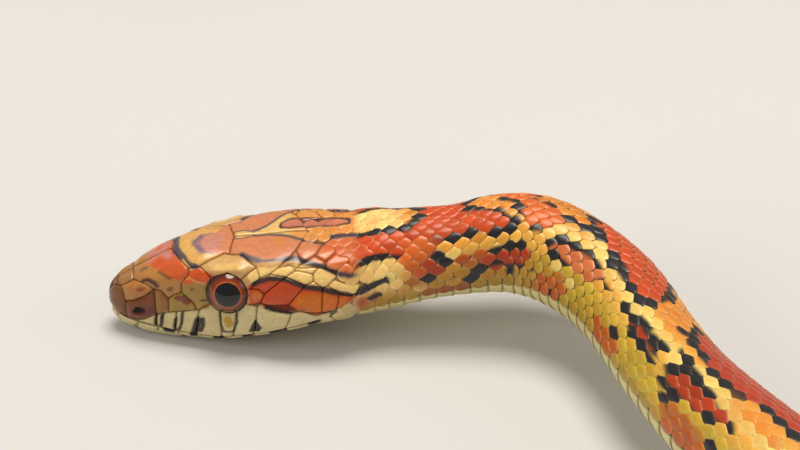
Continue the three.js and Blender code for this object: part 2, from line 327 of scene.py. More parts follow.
def surface(s, t):
    """A point on the outside of the solids."""
    s, t = np.broadcast_arrays(np.asarray(s, float), np.asarray(t, float))
    past = np.abs(t) > 6
    size = np.where(past, 12 - np.abs(t), np.abs(t))
    side = np.where(past, -np.sign(t), np.sign(t))
    w = half_width(s)
    y, z = loaf(size)
    head = from_table(RINGS, np.minimum(s, NECK_BLEND[1]), np.minimum(size, 6) * SPAN_STEPS)
    on_head = s < NECK_BLEND[1]
    y = np.where(on_head, head[..., 0], y * w)
    z = np.where(on_head, head[..., 1], z * w)
    return place(s, y * side, z)


def slopes(s, t):
    """The surface's change per unit of s and of t, and its outward normal."""
    ds, dt = 0.05, 0.02
    along = (surface(s + ds, t) - surface(s - ds, t)) / (2 * ds)
    across = (surface(s, t + dt) - surface(s, t - dt)) / (2 * dt)
    normal = np.cross(across, along)
    return along, across, normal / np.linalg.norm(normal, axis=-1, keepdims=True)


def skin_point(s, t, height=0.0):
    """A point at a height over the skin."""
    normal = slopes(s, t)[2]
    return surface(s, t) + normal * (np.asarray(height) - SKIN_DEPTH)[..., None]


# Scale lattice: index i along the back and row m across it.
def pitch(s):
    """Distance between neighbouring scales along the back: 1.4 mm at the neck, 3.35 mm at the rear."""
    return 3.35 - 1.95 * np.exp(-(np.asarray(s, float) - 25) / 80)


LATTICE_S = np.arange(0, TOTAL_LENGTH + 0.5, 0.5)
LATTICE_I = np.concatenate([[0], np.cumsum(0.5 / pitch((LATTICE_S[1:] + LATTICE_S[:-1]) / 2))])
VENT_INDEX = float(np.interp(VENT, LATTICE_S, LATTICE_I))
LAST_INDEX = float(np.interp(TOTAL_LENGTH - 3, LATTICE_S, LATTICE_I))


def station(i):
    """s of a lattice index."""
    return np.interp(i, LATTICE_I, LATTICE_S)


def index(s):
    """Lattice index at s."""
    return np.interp(s, LATTICE_S, LATTICE_I)


def row_share(m):
    """Girth share of row m."""
    place_of = np.interp(np.abs(m), np.arange(len(ROW_PLACES)), ROW_PLACES)
    return np.sign(m) * place_of / ROW_PLACES[-1] * BACK_SHARE


LAST_ROW_SHARE = ROW_PLACES[-2] / ROW_PLACES[-1] * BACK_SHARE - 0.03


def row_of(v):
    """Row at a girth share, counted on past the last one."""
    size = np.abs(v) / BACK_SHARE * ROW_PLACES[-1]
    inside = np.interp(size, ROW_PLACES, np.arange(len(ROW_PLACES)))
    beyond = np.maximum(size - ROW_PLACES[-1], 0)
    return np.sign(v) * (inside + beyond)


# Colours, as they would be picked in a paint program.
COLOURS = {
    "tan": (208, 162, 98),
    "snout": (122, 80, 46),
    "internasal": (166, 120, 70),
    "prenasal": (178, 120, 58),
    "prenasal spot": (138, 76, 42),
    "nasal": (122, 64, 28),
    "nostril red": (100, 30, 15),
    "nostril": (12, 7, 5),
    "postnasal": (148, 100, 42),
    "front yellow": (180, 128, 62),
    "dark brown": (72, 38, 25),
    "brown spot": (128, 76, 36),
    "orange red": (205, 92, 40),
    "lilac tint and sheen": (198, 138, 128),
    "grey": (86, 80, 88),
    "yellow": (222, 176, 96),
    "spear tip": (120, 108, 122),
    "salmon": (210, 134, 90),
    "prong orange": (210, 136, 60),
    "preocular red": (212, 86, 24),
    "olive tan": (160, 128, 54),
    "loreal": (128, 58, 34),
    "brow": (210, 168, 102),
    "cream yellow": (230, 192, 112),
    "oval": (198, 122, 96),
    "nape": (226, 156, 74),
    "temple": (250, 214, 132),
    "post red": (194, 68, 14),
    "post orange": (206, 112, 24),
    "black": (30, 28, 32),
    "grey black": (64, 58, 66),
    "soft black": (58, 42, 40),
    "labial": (206, 192, 138),
    "labial yellow": (186, 150, 44),
    "bar": (34, 22, 16),
    "saddle": (200, 74, 22),
    "brick": (176, 58, 30),
    "saddle orange": (214, 104, 36),
    "dull red": (172, 58, 16),
    "pink red": (200, 112, 62),
    "patch orange": (176, 86, 16),
    "patch brown": (150, 82, 16),
    "ground orange": (222, 142, 48),
    "ground yellow": (226, 174, 72),
    "pale yellow": (236, 214, 124),
    "olive yellow": (190, 163, 46),
    "olive": (158, 132, 36),
    "eye rim": (50, 24, 16),
    "belly": (210, 196, 134),
    "throat": (212, 200, 148),
}


def to_linear(picked):
    value = np.array(picked, float) / 255
    return np.where(value <= 0.04045, value / 12.92, ((value + 0.055) / 1.055) ** 2.4)


def linear(name):
    return to_linear(COLOURS[name])


def segment_distance(x, y, start, end):
    """Distance to a straight line between two points."""
    (x1, y1), (x2, y2) = start, end
    ex, ey = x2 - x1, y2 - y1
    f = np.clip(((x - x1) * ex + (y - y1) * ey) / (ex * ex + ey * ey + 1e-12), 0, 1)
    return np.hypot(x - x1 - f * ex, y - y1 - f * ey)


def shape_distance(x, y, corners):
    """Distance to a closed outline, below 0 inside it."""
    corners = np.array(corners, float)
    best = np.full(x.shape, 1e9)
    inside = np.zeros(x.shape, bool)
    for start, end in zip(corners, np.roll(corners, -1, 0)):
        best = np.minimum(best, segment_distance(x, y, start, end))
        (x1, y1), (x2, y2) = start, end
        if y1 != y2:
            inside ^= ((y1 > y) != (y2 > y)) & (x < (x2 - x1) * (y - y1) / (y2 - y1) + x1)
    return np.where(inside, -best, best)


def line_distance(x, y, points):
    """Distance to a line through points, or to a single point."""
    points = np.array(points, float)
    best = np.hypot(x - points[0, 0], y - points[0, 1])
    for start, end in zip(points[:-1], points[1:]):
        best = np.minimum(best, segment_distance(x, y, start, end))
    return best


def edge_of(distance, soft):
    """1 inside an outline and 0 outside it, with a soft edge."""
    return smooth(soft, -soft, distance)


def lay_over(colour, name, amount):
    """Mixes a named colour over another by an amount of 0 to 1."""
    return colour + (linear(name) - colour) * np.clip(amount, 0, 1)[..., None]


def area(colour, soft, *points):
    """A filled marking: colour, softness of its edge in mm, and corners as s and t."""
    return colour, None, soft, points


def stroke(colour, half, soft, *points):
    """A marking along a line: colour, half width and softness in mm, and points as s and t."""
    return colour, half, soft, points


# Markings of the side of the head.
SIDE_MARKS = (
    area("snout", 0.1, (-1, -1), (0.9, -1), (0.9, 1.05), (1.3, 2.15), (1.3, 2.7), (1.6, 3.2),
        (-1, 3.2)),
    area("internasal", 0.1, (0.9, -1), (2.1, -1), (2.2, 0.8), (0.9, 1.05)),
    area("prenasal", 0.06, (0.9, 1.05), (2.2, 0.8), (4.2, 1.5), (3.1, 1.85), (2.1, 2.05), (1.3, 2.15)),
    stroke("prenasal spot", 0.24, 0.2, (2.8, 1.4), (3.1, 1.45)),
    area("nasal", 0.06, (1.3, 2.15), (2.1, 2.05), (3.1, 1.85), (4.2, 1.5), (4.3, 2.15), (4.3, 2.5),
        (2.6, 2.95), (1.6, 3.1), (1.3, 2.7)),
    stroke("nostril red", 0.4, 0.3, (2.5, 2.42), (3.2, 2.38), (3.9, 2.38)),
    # Painted shade: black in the opening of the nostril, over its pit.
    stroke("nostril", 0.26, 0.14, (2.35, 2.46), (2.75, 2.44)),
    area("postnasal", 0.06, (4.2, 1.5), (4.9, 1.6), (5.6, 1.9), (5.6, 2.3), (4.3, 2.5)),
    area("front yellow", 0.08, (2.1, -1), (2.2, 0.8), (4.2, 1.5), (5.6, 1.9), (6.9, 1.7), (6.9, 1.3),
        (5, 0.8), (3.6, 0.35), (3.7, -1)),
    stroke("dark brown", 0.2, 0.12, (3.1, 1.0), (3.7, 1.02), (4.3, 1.22), (4.6, 1.4)),
    stroke("grey", 0.12, 0.1, (3.1, 0.52), (3.6, 0.48)),
    stroke("dark brown", 0.05, 0.08, (2.2, 0), (3.3, 0)),
    area("orange red", 0.12, (3.8, -1), (3.6, 0.35), (4.9, 0.8), (5.9, 1.15), (6.9, 1.34), (7.6, 1.12),
        (7.6, 0.93), (6.6, 0.5), (6.1, 0.15), (6.2, -1)),
    # Painted sheen: two soft lilac patches of reflection on the red of the prefrontal.
    stroke("lilac tint and sheen", 0.35, 0.4, (4.0, 0.2), (4.6, 0.1)),
    stroke("lilac tint and sheen", 0.35, 0.4, (5.2, 0.1), (5.7, 0.35)),
    stroke("dark brown", 0.08, 0.15, (4.8, 0.84), (5.3, 1.0), (5.9, 1.2)),
    stroke("brown spot", 0.26, 0.12, (5.75, 1.55), (5.9, 1.55)),
    area("olive tan", 0.08, (5.6, 1.9), (6.2, 1.75), (6.9, 1.7), (8, 2.0), (8.4, 2.2), (7.6, 2.25),
        (5.7, 2.35)),
    stroke("dark brown", 0.26, 0.08, (6.5, 1.85), (7.0, 1.88), (7.5, 2.0)),
    stroke("loreal", 0.18, 0.08, (6.5, 1.85), (7.0, 1.88), (7.5, 2.0)),
    area("olive tan", 0.08, (6.9, 1.42), (8.5, 1.38), (9.6, 1.4), (9.6, 2.15), (8.4, 2.2), (6.9, 1.7)),
    area("preocular red", 0.1, (6.9, 1.38), (7.6, 1.12), (7.6, 0.93), (8.7, 0.9), (9.2, 1.05),
        (10.1, 1.15), (9.7, 1.45), (8.5, 1.4), (7.2, 1.44)),
    # Painted highlight: a thin pale line along the fold of the preocular.
    stroke("cream yellow", 0.04, 0.06, (7.0, 1.38), (7.6, 1.24), (8.4, 1.38), (9.2, 1.44)),
    stroke("brown spot", 0.14, 0.1, (7.9, 1.6), (8.1, 1.6)),
    stroke("dark brown", 0.12, 0.1, (8.9, 1.92), (9.4, 1.9)),
    area("brow", 0.06, (8.7, 0.9), (9.8, 0.7), (11.2, 0.5), (11.6, 0.55), (12.9, 0.6), (13.6, 0.8),
        (14.3, 0.95), (13.6, 1.2), (12.8, 1.1), (11.2, 1.1), (10.1, 1.15)),
    # A pale band along the lower edge of the brow: its own yellow with a painted highlight over it.
    stroke("cream yellow", 0.3, 0.25, (10.6, 0.92), (12.4, 0.9), (13.0, 0.98)),
    area("temple", 0.06, (13.4, 1.2), (14.3, 0.95), (15.5, 1.0), (18, 0.95), (21, 1.1), (24.6, 1.4),
        (24.8, 2.3), (23.1, 1.9), (21.9, 1.7), (19, 1.5), (17.1, 1.28), (15.5, 1.22), (14.4, 1.32),
        (13.8, 1.45)),
    area("post red", 0.06, (13.4, 1.5), (14.4, 1.35), (15.5, 1.3), (17.1, 1.35), (18.1, 1.45),
        (19, 1.6), (19.9, 1.6), (21, 1.7), (22, 1.85), (23, 2.0), (24.2, 2.4), (22.8, 2.55),
        (21.5, 2.55), (20.2, 2.62), (18.8, 2.3), (17.4, 2.3), (15.7, 2.2), (14.8, 2.05), (13.6, 2.05)),
    area("post orange", 0.5, (18.2, 1.8), (20.8, 1.78), (23.2, 2.1), (23, 2.55), (20.4, 2.62),
        (18.8, 2.28), (17.8, 2.1)),
    stroke("soft black", 0.27, 0.08, (14.0, 1.46), (14.6, 1.38), (15.5, 1.31), (17.1, 1.37),
        (18.1, 1.48), (19, 1.6), (19.9, 1.62), (21, 1.72), (21.9, 1.82)),
    stroke("soft black", 0.27, 0.1, (21.0, 1.7), (21.9, 1.8), (23.1, 1.98), (24.2, 2.35)),
    stroke("soft black", 0.24, 0.1, (15.2, 2.15), (16.2, 2.28), (17.4, 2.37)),
    stroke("dark brown", 0.08, 0.08, (14.6, 2.03), (15.2, 2.13), (17.4, 2.38)),
    stroke("dark brown", 0.09, 0.08, (18.6, 2.3), (19.4, 2.5), (20, 2.64), (21, 2.66), (22.6, 2.6)),
    # Painted highlight: a thin light line over the dark lower edge of the postocular stripe.
    stroke("pink red", 0.05, 0.06, (14.9, 1.98), (15.8, 2.04), (16.6, 2.1)),
    stroke("post orange", 0.45, 0.15, (14.2, 1.8), (14.4, 1.8)),
    stroke("temple", 0.34, 0.1, (13.8, 1.24), (14.1, 1.24)),
    area("labial", 0.06, (1.6, 3.12), (2.6, 2.95), (4.2, 2.5), (5.7, 2.35), (7.1, 2.27), (8.7, 2.2),
        (9.6, 2.12), (10.3, 1.95), (13.0, 1.9), (13.4, 2.05), (14.3, 2.1), (15.7, 2.27), (17.4, 2.42),
        (18, 2.34), (19, 2.44), (20.2, 2.72), (22.4, 2.68), (25, 2.6), (26, 3.2), (1.6, 3.2)),
    stroke("bar", 0.19, 0.06, (4.42, 2.5), (4.32, 2.75), (4.4, 2.97)),
    stroke("bar", 0.22, 0.06, (5.0, 2.48), (4.95, 2.75), (4.8, 2.97)),
    stroke("bar", 0.16, 0.08, (4.4, 2.95), (4.8, 2.97)),
    stroke("bar", 0.19, 0.06, (6.35, 2.5), (6.2, 2.75), (6.25, 2.95)),
    stroke("bar", 0.17, 0.06, (6.98, 2.33), (6.9, 2.6), (6.6, 2.92)),
    stroke("bar", 0.14, 0.08, (6.2, 2.94), (6.6, 2.94)),
    stroke("bar", 0.4, 0.1, (8.5, 2.48), (8.3, 2.7), (8.1, 2.9)),
    stroke("bar", 0.2, 0.08, (9.0, 2.42), (9.0, 2.6), (8.75, 2.78)),
    stroke("labial yellow", 0.42, 0.12, (11.4, 2.42), (11.55, 2.5)),
    stroke("bar", 0.12, 0.06, (10.65, 2.2), (10.7, 2.5), (11.0, 2.74)),
    stroke("bar", 0.12, 0.06, (12.3, 2.18), (12.3, 2.5), (11.9, 2.74)),
    stroke("bar", 0.12, 0.06, (11.0, 2.74), (11.9, 2.76)),
    area("bar", 0.06, (13.4, 2.8), (13.8, 2.56), (14.1, 2.42), (14.35, 2.55), (14.8, 2.72),
        (14.5, 2.84), (13.7, 2.86)),
    area("throat", 0.06, (-1, 3.2), (26, 3.12), (26, 7), (-1, 7)),
    area("bar", 0.08, (5.0, 3.05), (6.3, 3.0), (6.1, 3.5), (5.1, 3.5)),
    area("bar", 0.08, (7.6, 2.98), (8.4, 2.96), (8.5, 3.5), (7.7, 3.5)),
    area("bar", 0.08, (9.9, 2.98), (11.0, 2.94), (11.2, 3.5), (10.0, 3.5)),
    area("bar", 0.08, (12.8, 2.98), (13.8, 2.94), (14.0, 3.5), (12.8, 3.5)),
    area("bar", 0.08, (15.4, 3.0), (17.1, 2.96), (17.4, 3.5), (15.5, 3.5)),
    area("bar", 0.1, (19.2, 3.05), (20.6, 3.05), (20.6, 3.5), (19.4, 3.5)),
)

# Markings of the top of the head, with t counted from the pattern's own middle line.
PATTERN_MIDDLE = curve((
    (0, 0), (5.6, 0), (6.4, -0.35), (7.0, -0.35), (8, 0.1), (8.6, 0.18), (10, 0.18), (11.5, 0), (14, -0.04),
    (18, -0.25), (30, -0.3),
))
TOP_MARKS = (
    area("yellow", 0.06, (6.2, -1), (6.1, 0.42), (6.6, 0.84), (7.1, 1.06), (7.6, 1.02), (8.7, 0.72),
        (9.8, 0.52), (11.2, 0.48), (11.6, 0.55), (12.1, 0.1), (12.2, -1)),
    stroke("grey", 0.34, 0.12, (6.4, 0.0), (6.4, 0.5), (6.7, 0.72), (7.0, 0.84), (7.6, 0.82),
        (8.3, 0.74)),
    area("cream yellow", 0.1, (12.1, -1), (12.1, 0.12), (13.2, 0.14), (14.3, 0.06), (15.4, 0.16),
        (16.9, 0.36), (18.1, 0.52), (18.4, -1)),
    area("nape", 0.8, (17.6, -1), (17.6, 0.5), (19.3, 0.6), (20.6, 0.68), (21.5, 0.55), (26, 0.5),
        (26, -1)),
    area("salmon", 0.07, (8.15, -0.1), (8.15, 0.03), (8.5, 0.2), (9.2, 0.32), (10.3, 0.37), (11, 0.48),
        (11.6, 0.57), (12.9, 0.62), (13.6, 0.74), (14.9, 0.88), (16.6, 1.03), (17.6, 1.08),
        (18.9, 1.16), (20.9, 1.33), (22.2, 1.54), (23.6, 1.7), (25, 1.8), (26, 0.55), (22.5, 0.47),
        (21.5, 0.58), (20.6, 0.68), (19.3, 0.56), (18.1, 0.5), (16.9, 0.34), (15.4, 0.15), (14.3, 0.05),
        (13.1, 0.12), (12.3, 0.12), (12.0, -0.1)),
    stroke("lilac tint and sheen", 0.5, 0.7, (9.0, 0.15), (9.8, 0.1), (10.4, 0.1)),
    stroke("spear tip", 0.25, 0.3, (8.2, 0.05), (8.6, 0.1), (8.9, 0.28)),
    stroke("spear tip", 0.08, 0.12, (8.2, 0.03), (8.5, 0.2), (9.2, 0.31), (10.0, 0.36)),
    stroke("prong orange", 0.3, 0.4, (16.4, 0.46), (16.7, 0.48)),
    area("saddle orange", 1.2, (20.5, 0.75), (20.5, 1.2), (23.6, 1.6), (26, 1.7), (26, 0.6),
        (22, 0.55)),
    stroke("grey", 0.08, 0.06, (12.1, 0.12), (13.1, 0.13), (14.0, 0.06)),
    stroke("grey", 0.14, 0.08, (14.0, 0.07), (15.4, 0.15), (16.9, 0.34), (18.1, 0.5), (19.0, 0.56)),
    stroke("grey", 0.05, 0.08, (19.0, 0.56), (20.6, 0.68), (21.5, 0.58)),
    stroke("grey", 0.26, 0.15, (12.9, 0.62), (13.6, 0.74), (14.4, 0.82)),
    stroke("grey", 0.13, 0.1, (14.4, 0.84), (16.6, 1.0), (17.6, 1.06)),
    stroke("grey", 0.26, 0.12, (17.0, 1.0), (18.2, 1.05), (18.9, 1.12)),
    stroke("grey black", 0.26, 0.15, (18.9, 1.14), (20.9, 1.31)),
    stroke("grey black", 0.24, 0.12, (20.9, 1.36), (22.2, 1.56), (23.6, 1.72), (25, 1.8)),
    stroke("grey black", 0.22, 0.12, (21.6, 0.5), (23.7, 0.5), (25, 0.62)),
    area("soft black", 0.07, (16.2, -0.15), (16.6, 0.09), (17.6, 0.17), (20, 0.16), (22, 0.17),
        (23.4, 0.1), (23.8, -0.15)),
    area("oval", 0.08, (16.5, -0.15), (16.8, 0.05), (17.6, 0.12), (20, 0.11), (22, 0.12), (23.1, 0.05),
        (23.4, -0.15)),
)
HEAD_LINE_SPAN = curve(((0, 1.6), (3, 2.5), (6, 3.3), (10, 3.7), (16, 3.7), (24, 3.2)))


MARK_STEP = 1.5


def subdivide(points, closed):
    """Adds points so that no step along s is much longer than MARK_STEP."""
    ends = points[1:] + points[:1] if closed else points[1:]
    result = [points[0]]
    for (s1, t1), (s2, t2) in zip(points, ends):
        count = max(1, round(abs(s2 - s1) / MARK_STEP))
        result += [(s1 + (s2 - s1) * k / count, t1 + (t2 - t1) * k / count) for k in range(1, count + 1)]
    return np.array(result, float)


def paint_marks(colour, s, t, marks):
    """Lays marks over a colour. Distances are taken on a rough unwrap of the head."""
    span = HEAD_LINE_SPAN(s)
    y = t * span
    for name, half, soft, points in marks:
        corners = subdivide(points, half is None)
        corners[:, 1] *= HEAD_LINE_SPAN(corners[:, 0])
        if half is None:
            distance = shape_distance(s, y, corners)
        else:
            distance = line_distance(s, y, corners) - half
        colour = lay_over(colour, name, edge_of(distance, soft))
    return colour


STREAK_DEPTH = np.array((0.16, 0.28, 0.32))


def streaks(s, t):
    """Fine darker streaks and mottling along the head, 0 to 1."""
    y = t * 3.4
    wave = np.sin(s * 5.1 + 1.7 * np.sin(y * 3.9)) * np.sin(y * 9.3 + 2.1 * np.sin(s * 2.3))
    fine = np.sin(s * 13.7 + 2.0 * np.sin(y * 7.7)) * np.sin(y * 21.0 + 1.5 * np.sin(s * 6.1))
    return np.clip(0.5 + 0.32 * wave + 0.28 * fine, 0, 1)


def paint_head(s, t):
    """Colour of the head: both sets of markings and the streaks over a tan ground."""
    colour = np.broadcast_to(linear("tan"), s.shape + (3,)).copy()
    colour = paint_marks(colour, s, np.abs(t), SIDE_MARKS)
    colour = paint_marks(colour, s, np.abs(t - PATTERN_MIDDLE(s)), TOP_MARKS)
    return colour * (1 - streaks(s, t)[..., None] * STREAK_DEPTH)


# Body markings in view, with outlines as index and row. A saddle has a colour and the half width of its
# black border in rows, a blotch has a colour, and a patch has a colour and a softness in rows.
SADDLES = (
    ("saddle", 0.42, ((18, 0.2), (22, 0.7), (23.2, 1.3), (24.2, 1.6), (25.3, 1.95), (26.3, 1.85),
        (27.5, 1.5), (28, 0.4), (28, -1.8), (27.5, -2.9), (26.3, -3.2), (24.2, -3.0), (22, -2.1),
        (18, -1.6), (18, -5.5), (22, -6.6), (26.5, -7.2), (27, -9.5), (29, -9.8), (29.6, -5.5),
        (31, -5.5), (33, -5.6), (32.5, -4), (31.5, -2.5), (30.8, -1.2), (31, -0.5), (32.2, 1.6),
        (32.8, 2.1), (33.3, 3.2), (33.9, 4.2), (34.2, 5.1), (33, 5.1), (31.7, 4.6), (30.8, 4.0),
        (29.5, 3.8), (28.6, 4.6), (27.6, 5.4), (26.8, 5.6), (26, 5.45), (24.6, 5.4), (23.2, 5.8),
        (22, 5.4), (18, 4.4))),
    ("saddle orange", 0.1, ((32.3, -2), (33.1, 0.3), (33.6, 1.1), (34.0, 2.2), (34.5, 3.3), (34.8, 4.4),
        (35.2, 5.1), (35.9, 4.9), (36.2, 4.1), (36.7, 3.3), (36.8, 2.4), (36.0, 1.3), (35.3, 0.7),
        (34.8, -0.2), (34.4, -2), (34.6, -4), (35.2, -5.2), (33.6, -5.6), (32.6, -4))),
    ("saddle", 0.42, ((37.3, -1), (37.8, 0.3), (38.4, 1.3), (39.2, 2.0), (40, 2.8), (41, 3.2),
        (42, 3.7), (43, 3.9), (43.9, 3.9), (44.6, 3.2), (44.5, 1.8), (44.2, 0.6), (43.6, -0.6),
        (42.8, -1.8), (42.2, -3.5), (41.5, -5), (39, -4.6), (37.8, -3))),
    ("brick", 0.42, ((46.2, -1.5), (46.8, 0.2), (47.4, 1.3), (48.5, 2.1), (49.5, 2.6), (51, 2.9),
        (52.3, 2.9), (53.5, 2.5), (54.5, 2.2), (56, 1.9), (57.3, 1.2), (57.8, 0), (57.3, -1.8),
        (56, -3.2), (53, -3.8), (50, -3.8), (47.5, -3.2))),
)
SIDE_BLOTCHES = (
    ("dull red", ((31.2, 8.6), (31.8, 7.5), (33.2, 7.2), (34.8, 7.0), (35.8, 7.6), (35.2, 9.0),
        (33.6, 9.6), (32.0, 9.3))),
    ("pink red", ((36.9, 6.2), (37.3, 5.3), (38.5, 5.0), (39.8, 4.9), (41, 5.6), (41.5, 6.4), (41, 7.3),
        (39.6, 7.5), (38.2, 7.0), (37.4, 6.9))),
    ("dull red", ((44.7, 6.2), (45.3, 5.8), (46.5, 5.9), (47.6, 6.0), (48, 6.5), (46.8, 6.8),
        (45.3, 6.7))),
    ("dull red", ((48.3, 6.3), (48.8, 5.3), (50, 5.0), (51, 5.2), (52.3, 5.3), (53.3, 5.9), (53.1, 6.8),
        (51.8, 7.2), (50.3, 7.2), (49.1, 7.2))),
)
PATCHES = (
    ("saddle orange", 0.35, ((26.9, 3.6), (28.6, 3.4), (29.3, 4.4), (29.2, 6.4), (28.9, 7.6),
        (27.9, 8.8), (27.2, 8.6), (26.9, 6.6))),
    ("dull red", 0.5, ((27.9, 7.0), (28.6, 6.4), (29.5, 6.6), (29.8, 7.4), (29.3, 8.5), (28.2, 8.6))),
    ("patch orange", 0.5, ((19, 9.5), (23.6, 9.2), (25.5, 9.4), (25, 10.6), (22, 11.6), (19, 11.6))),
    ("patch orange", 0.4, ((27.1, 8.9), (28.3, 9.0), (28.1, 10.0), (27.3, 9.8))),
    ("patch orange", 0.4, ((30.0, 6.6), (31.8, 6.2), (32.0, 7.8), (30.6, 8.2))),
    ("patch brown", 0.4, ((28.2, 10.5), (30.8, 10.4), (30.8, 11.6), (28.4, 11.8))),
    ("patch orange", 0.5, ((36.2, 9.6), (38.6, 8.8), (39.4, 10.2), (38.8, 11.6), (36.6, 11.8))),
    ("patch orange", 0.5, ((42.3, 9.4), (44.5, 9.0), (45.6, 9.4), (45.2, 11.3), (43, 11.6))),
    ("patch orange", 0.5, ((49.8, 9.6), (50.6, 8.6), (53.2, 9.0), (53.2, 11.4), (50.4, 11.8))),
    ("ground orange", 0.6, ((35.1, -2), (35.2, 0.2), (36.2, 0.9), (37.1, 0.2), (37, -2))),
    ("ground orange", 0.6, ((45.2, 1), (45.6, 3.2), (47, 3.0), (47.2, 1.8), (46.2, 0.4))),
    ("ground orange", 0.6, ((52.5, 3.4), (55.5, 2.8), (56.5, 4.5), (53.5, 4.9))),
)
# Black marks: index and row of both ends, and half width in rows.
DASHES = (
    (33.9, 2.0, 34.3, 3.2, 0.3), (24.0, 8.7, 25.8, 8.2, 0.45), (24.8, 10.0, 25.8, 9.6, 0.25),
    (29.1, 6.2, 29.5, 6.2, 0.4), (29.6, 6.95, 30.2, 6.95, 0.35), (28.5, 8.9, 29.2, 8.8, 0.3),
    (29.4, 9.6, 30.1, 9.6, 0.28), (30.7, 10.0, 31.5, 9.95, 0.3), (32.3, 7.25, 33.0, 7.25, 0.32),
    (33.3, 7.2, 34.0, 7.2, 0.3), (34.3, 6.95, 34.9, 6.9, 0.28), (32.0, 8.6, 32.7, 8.6, 0.4),
    (33.3, 9.3, 34.6, 9.3, 0.3), (33.2, 9.95, 33.9, 9.95, 0.25), (35.4, 9.8, 37.0, 9.5, 0.25),
    (36.9, 2.35, 38.9, 1.5, 0.42), (37.4, -0.9, 38.0, -0.9, 0.4), (38.8, 3.0, 39.6, 3.5, 0.28),
    (40.3, 3.7, 41.0, 3.9, 0.3), (37.4, 5.0, 38.6, 4.8, 0.25), (41.2, 6.3, 43.4, 6.5, 0.35),
    (43.4, 6.3, 44.3, 5.6, 0.45), (44.4, 5.6, 46.3, 5.1, 0.35), (46.6, 5.4, 48.2, 5.3, 0.42),
    (48.2, 5.3, 49.3, 6.2, 0.3), (45.6, 7.2, 46.5, 7.3, 0.3), (47.3, 7.3, 50.0, 7.9, 0.38),
    (44.1, 8.9, 44.9, 8.8, 0.32), (49.6, 9.2, 50.4, 9.8, 0.35), (48.2, 3.9, 49.2, 4.0, 0.28),
    (49.8, 4.3, 50.6, 4.4, 0.3), (45.9, 1.2, 47.0, 1.8, 0.3), (52.6, 6.6, 53.9, 6.3, 0.4),
    (53.2, 8.8, 54.6, 9.6, 0.35), (38.0, 11.0, 38.3, 11.0, 0.35), (46.2, 10.4, 46.8, 10.3, 0.25),
    (51.8, 11.8, 52.6, 11.8, 0.3),
)
PALE_SPOTS = (
    (29.7, 6.35, 30.2, 6.35, 0.4), (29.2, 5.6, 29.5, 5.6, 0.35), (32.3, 6.6, 33.0, 6.6, 0.35),
    (33.3, 6.5, 34.0, 6.5, 0.35), (26.1, 8.2, 26.4, 8.2, 0.6), (27.4, 10.3, 28.0, 10.3, 0.4),
    (37.6, 8.3, 38.6, 8.3, 0.45), (38.6, 2.6, 41.0, 3.6, 0.4), (38.8, 8.6, 40.0, 8.9, 0.35),
    (43.9, 4.6, 53.0, 4.2, 0.38),
)
# An index step is this many row steps long. Dashes past a row are on both sides.
ROW_TO_INDEX = 1.9
MIRRORED_FROM_ROW = 4.6
VIEW_END = 60

# Markings further back repeat.
PERIOD = 8.0
FIRST_REPEAT = 62.5
REPEATS_START = (58.2, 58.6)
SADDLE_HALF_LENGTH = 2.9
SADDLE_ROWS = 5.2
BLOTCH_ROW = 7.9
BLOTCH_HALF_SIZE = (3.6, 1.7)
LOW_SPOT_ROW = 10.6
LOW_SPOT_HALF_SIZE = (2.2, 1.1)


def ground(i, m):
    """Colour between the markings."""
    size = np.abs(m)
    colour = np.broadcast_to(linear("ground yellow"), i.shape + (3,)).copy()
    colour = lay_over(colour, "ground orange", 0.95 * smooth(3.8, 1.8, size))
    pale = smooth(3.2, 4.2, size) * smooth(6.2, 5.0, size)
    colour = lay_over(colour, "pale yellow", 0.75 * pale * smooth(35.5, 38, i))
    colour = lay_over(colour, "ground orange", 0.5 * pale * smooth(36, 34.5, i))
    colour = lay_over(colour, "olive yellow", smooth(6.3, 8.4, size))
    colour = lay_over(colour, "patch orange", 0.5 * smooth(6.3, 8.4, size) * smooth(38, 34, i))
    colour = lay_over(colour, "olive", 0.75 * smooth(9.2, 11.5, size))
    colour = lay_over(colour, "temple", smooth(27.6, 26.0, i) * smooth(10.5, 9.0, size))
    return lay_over(colour, "belly", 0.8 * smooth(11.8, 13.2, size))


def repeats(i):
    """Number of the nearest repeat and the distance from its middle, in index steps."""
    turn = np.round((i - FIRST_REPEAT) / PERIOD)
    return turn, (i - FIRST_REPEAT) - turn * PERIOD


def wobble(turn, seed, size):
    """A small, repeatable difference between one repeat and the next."""
    return size * np.sin(turn * 12.9898 + seed * 78.233)


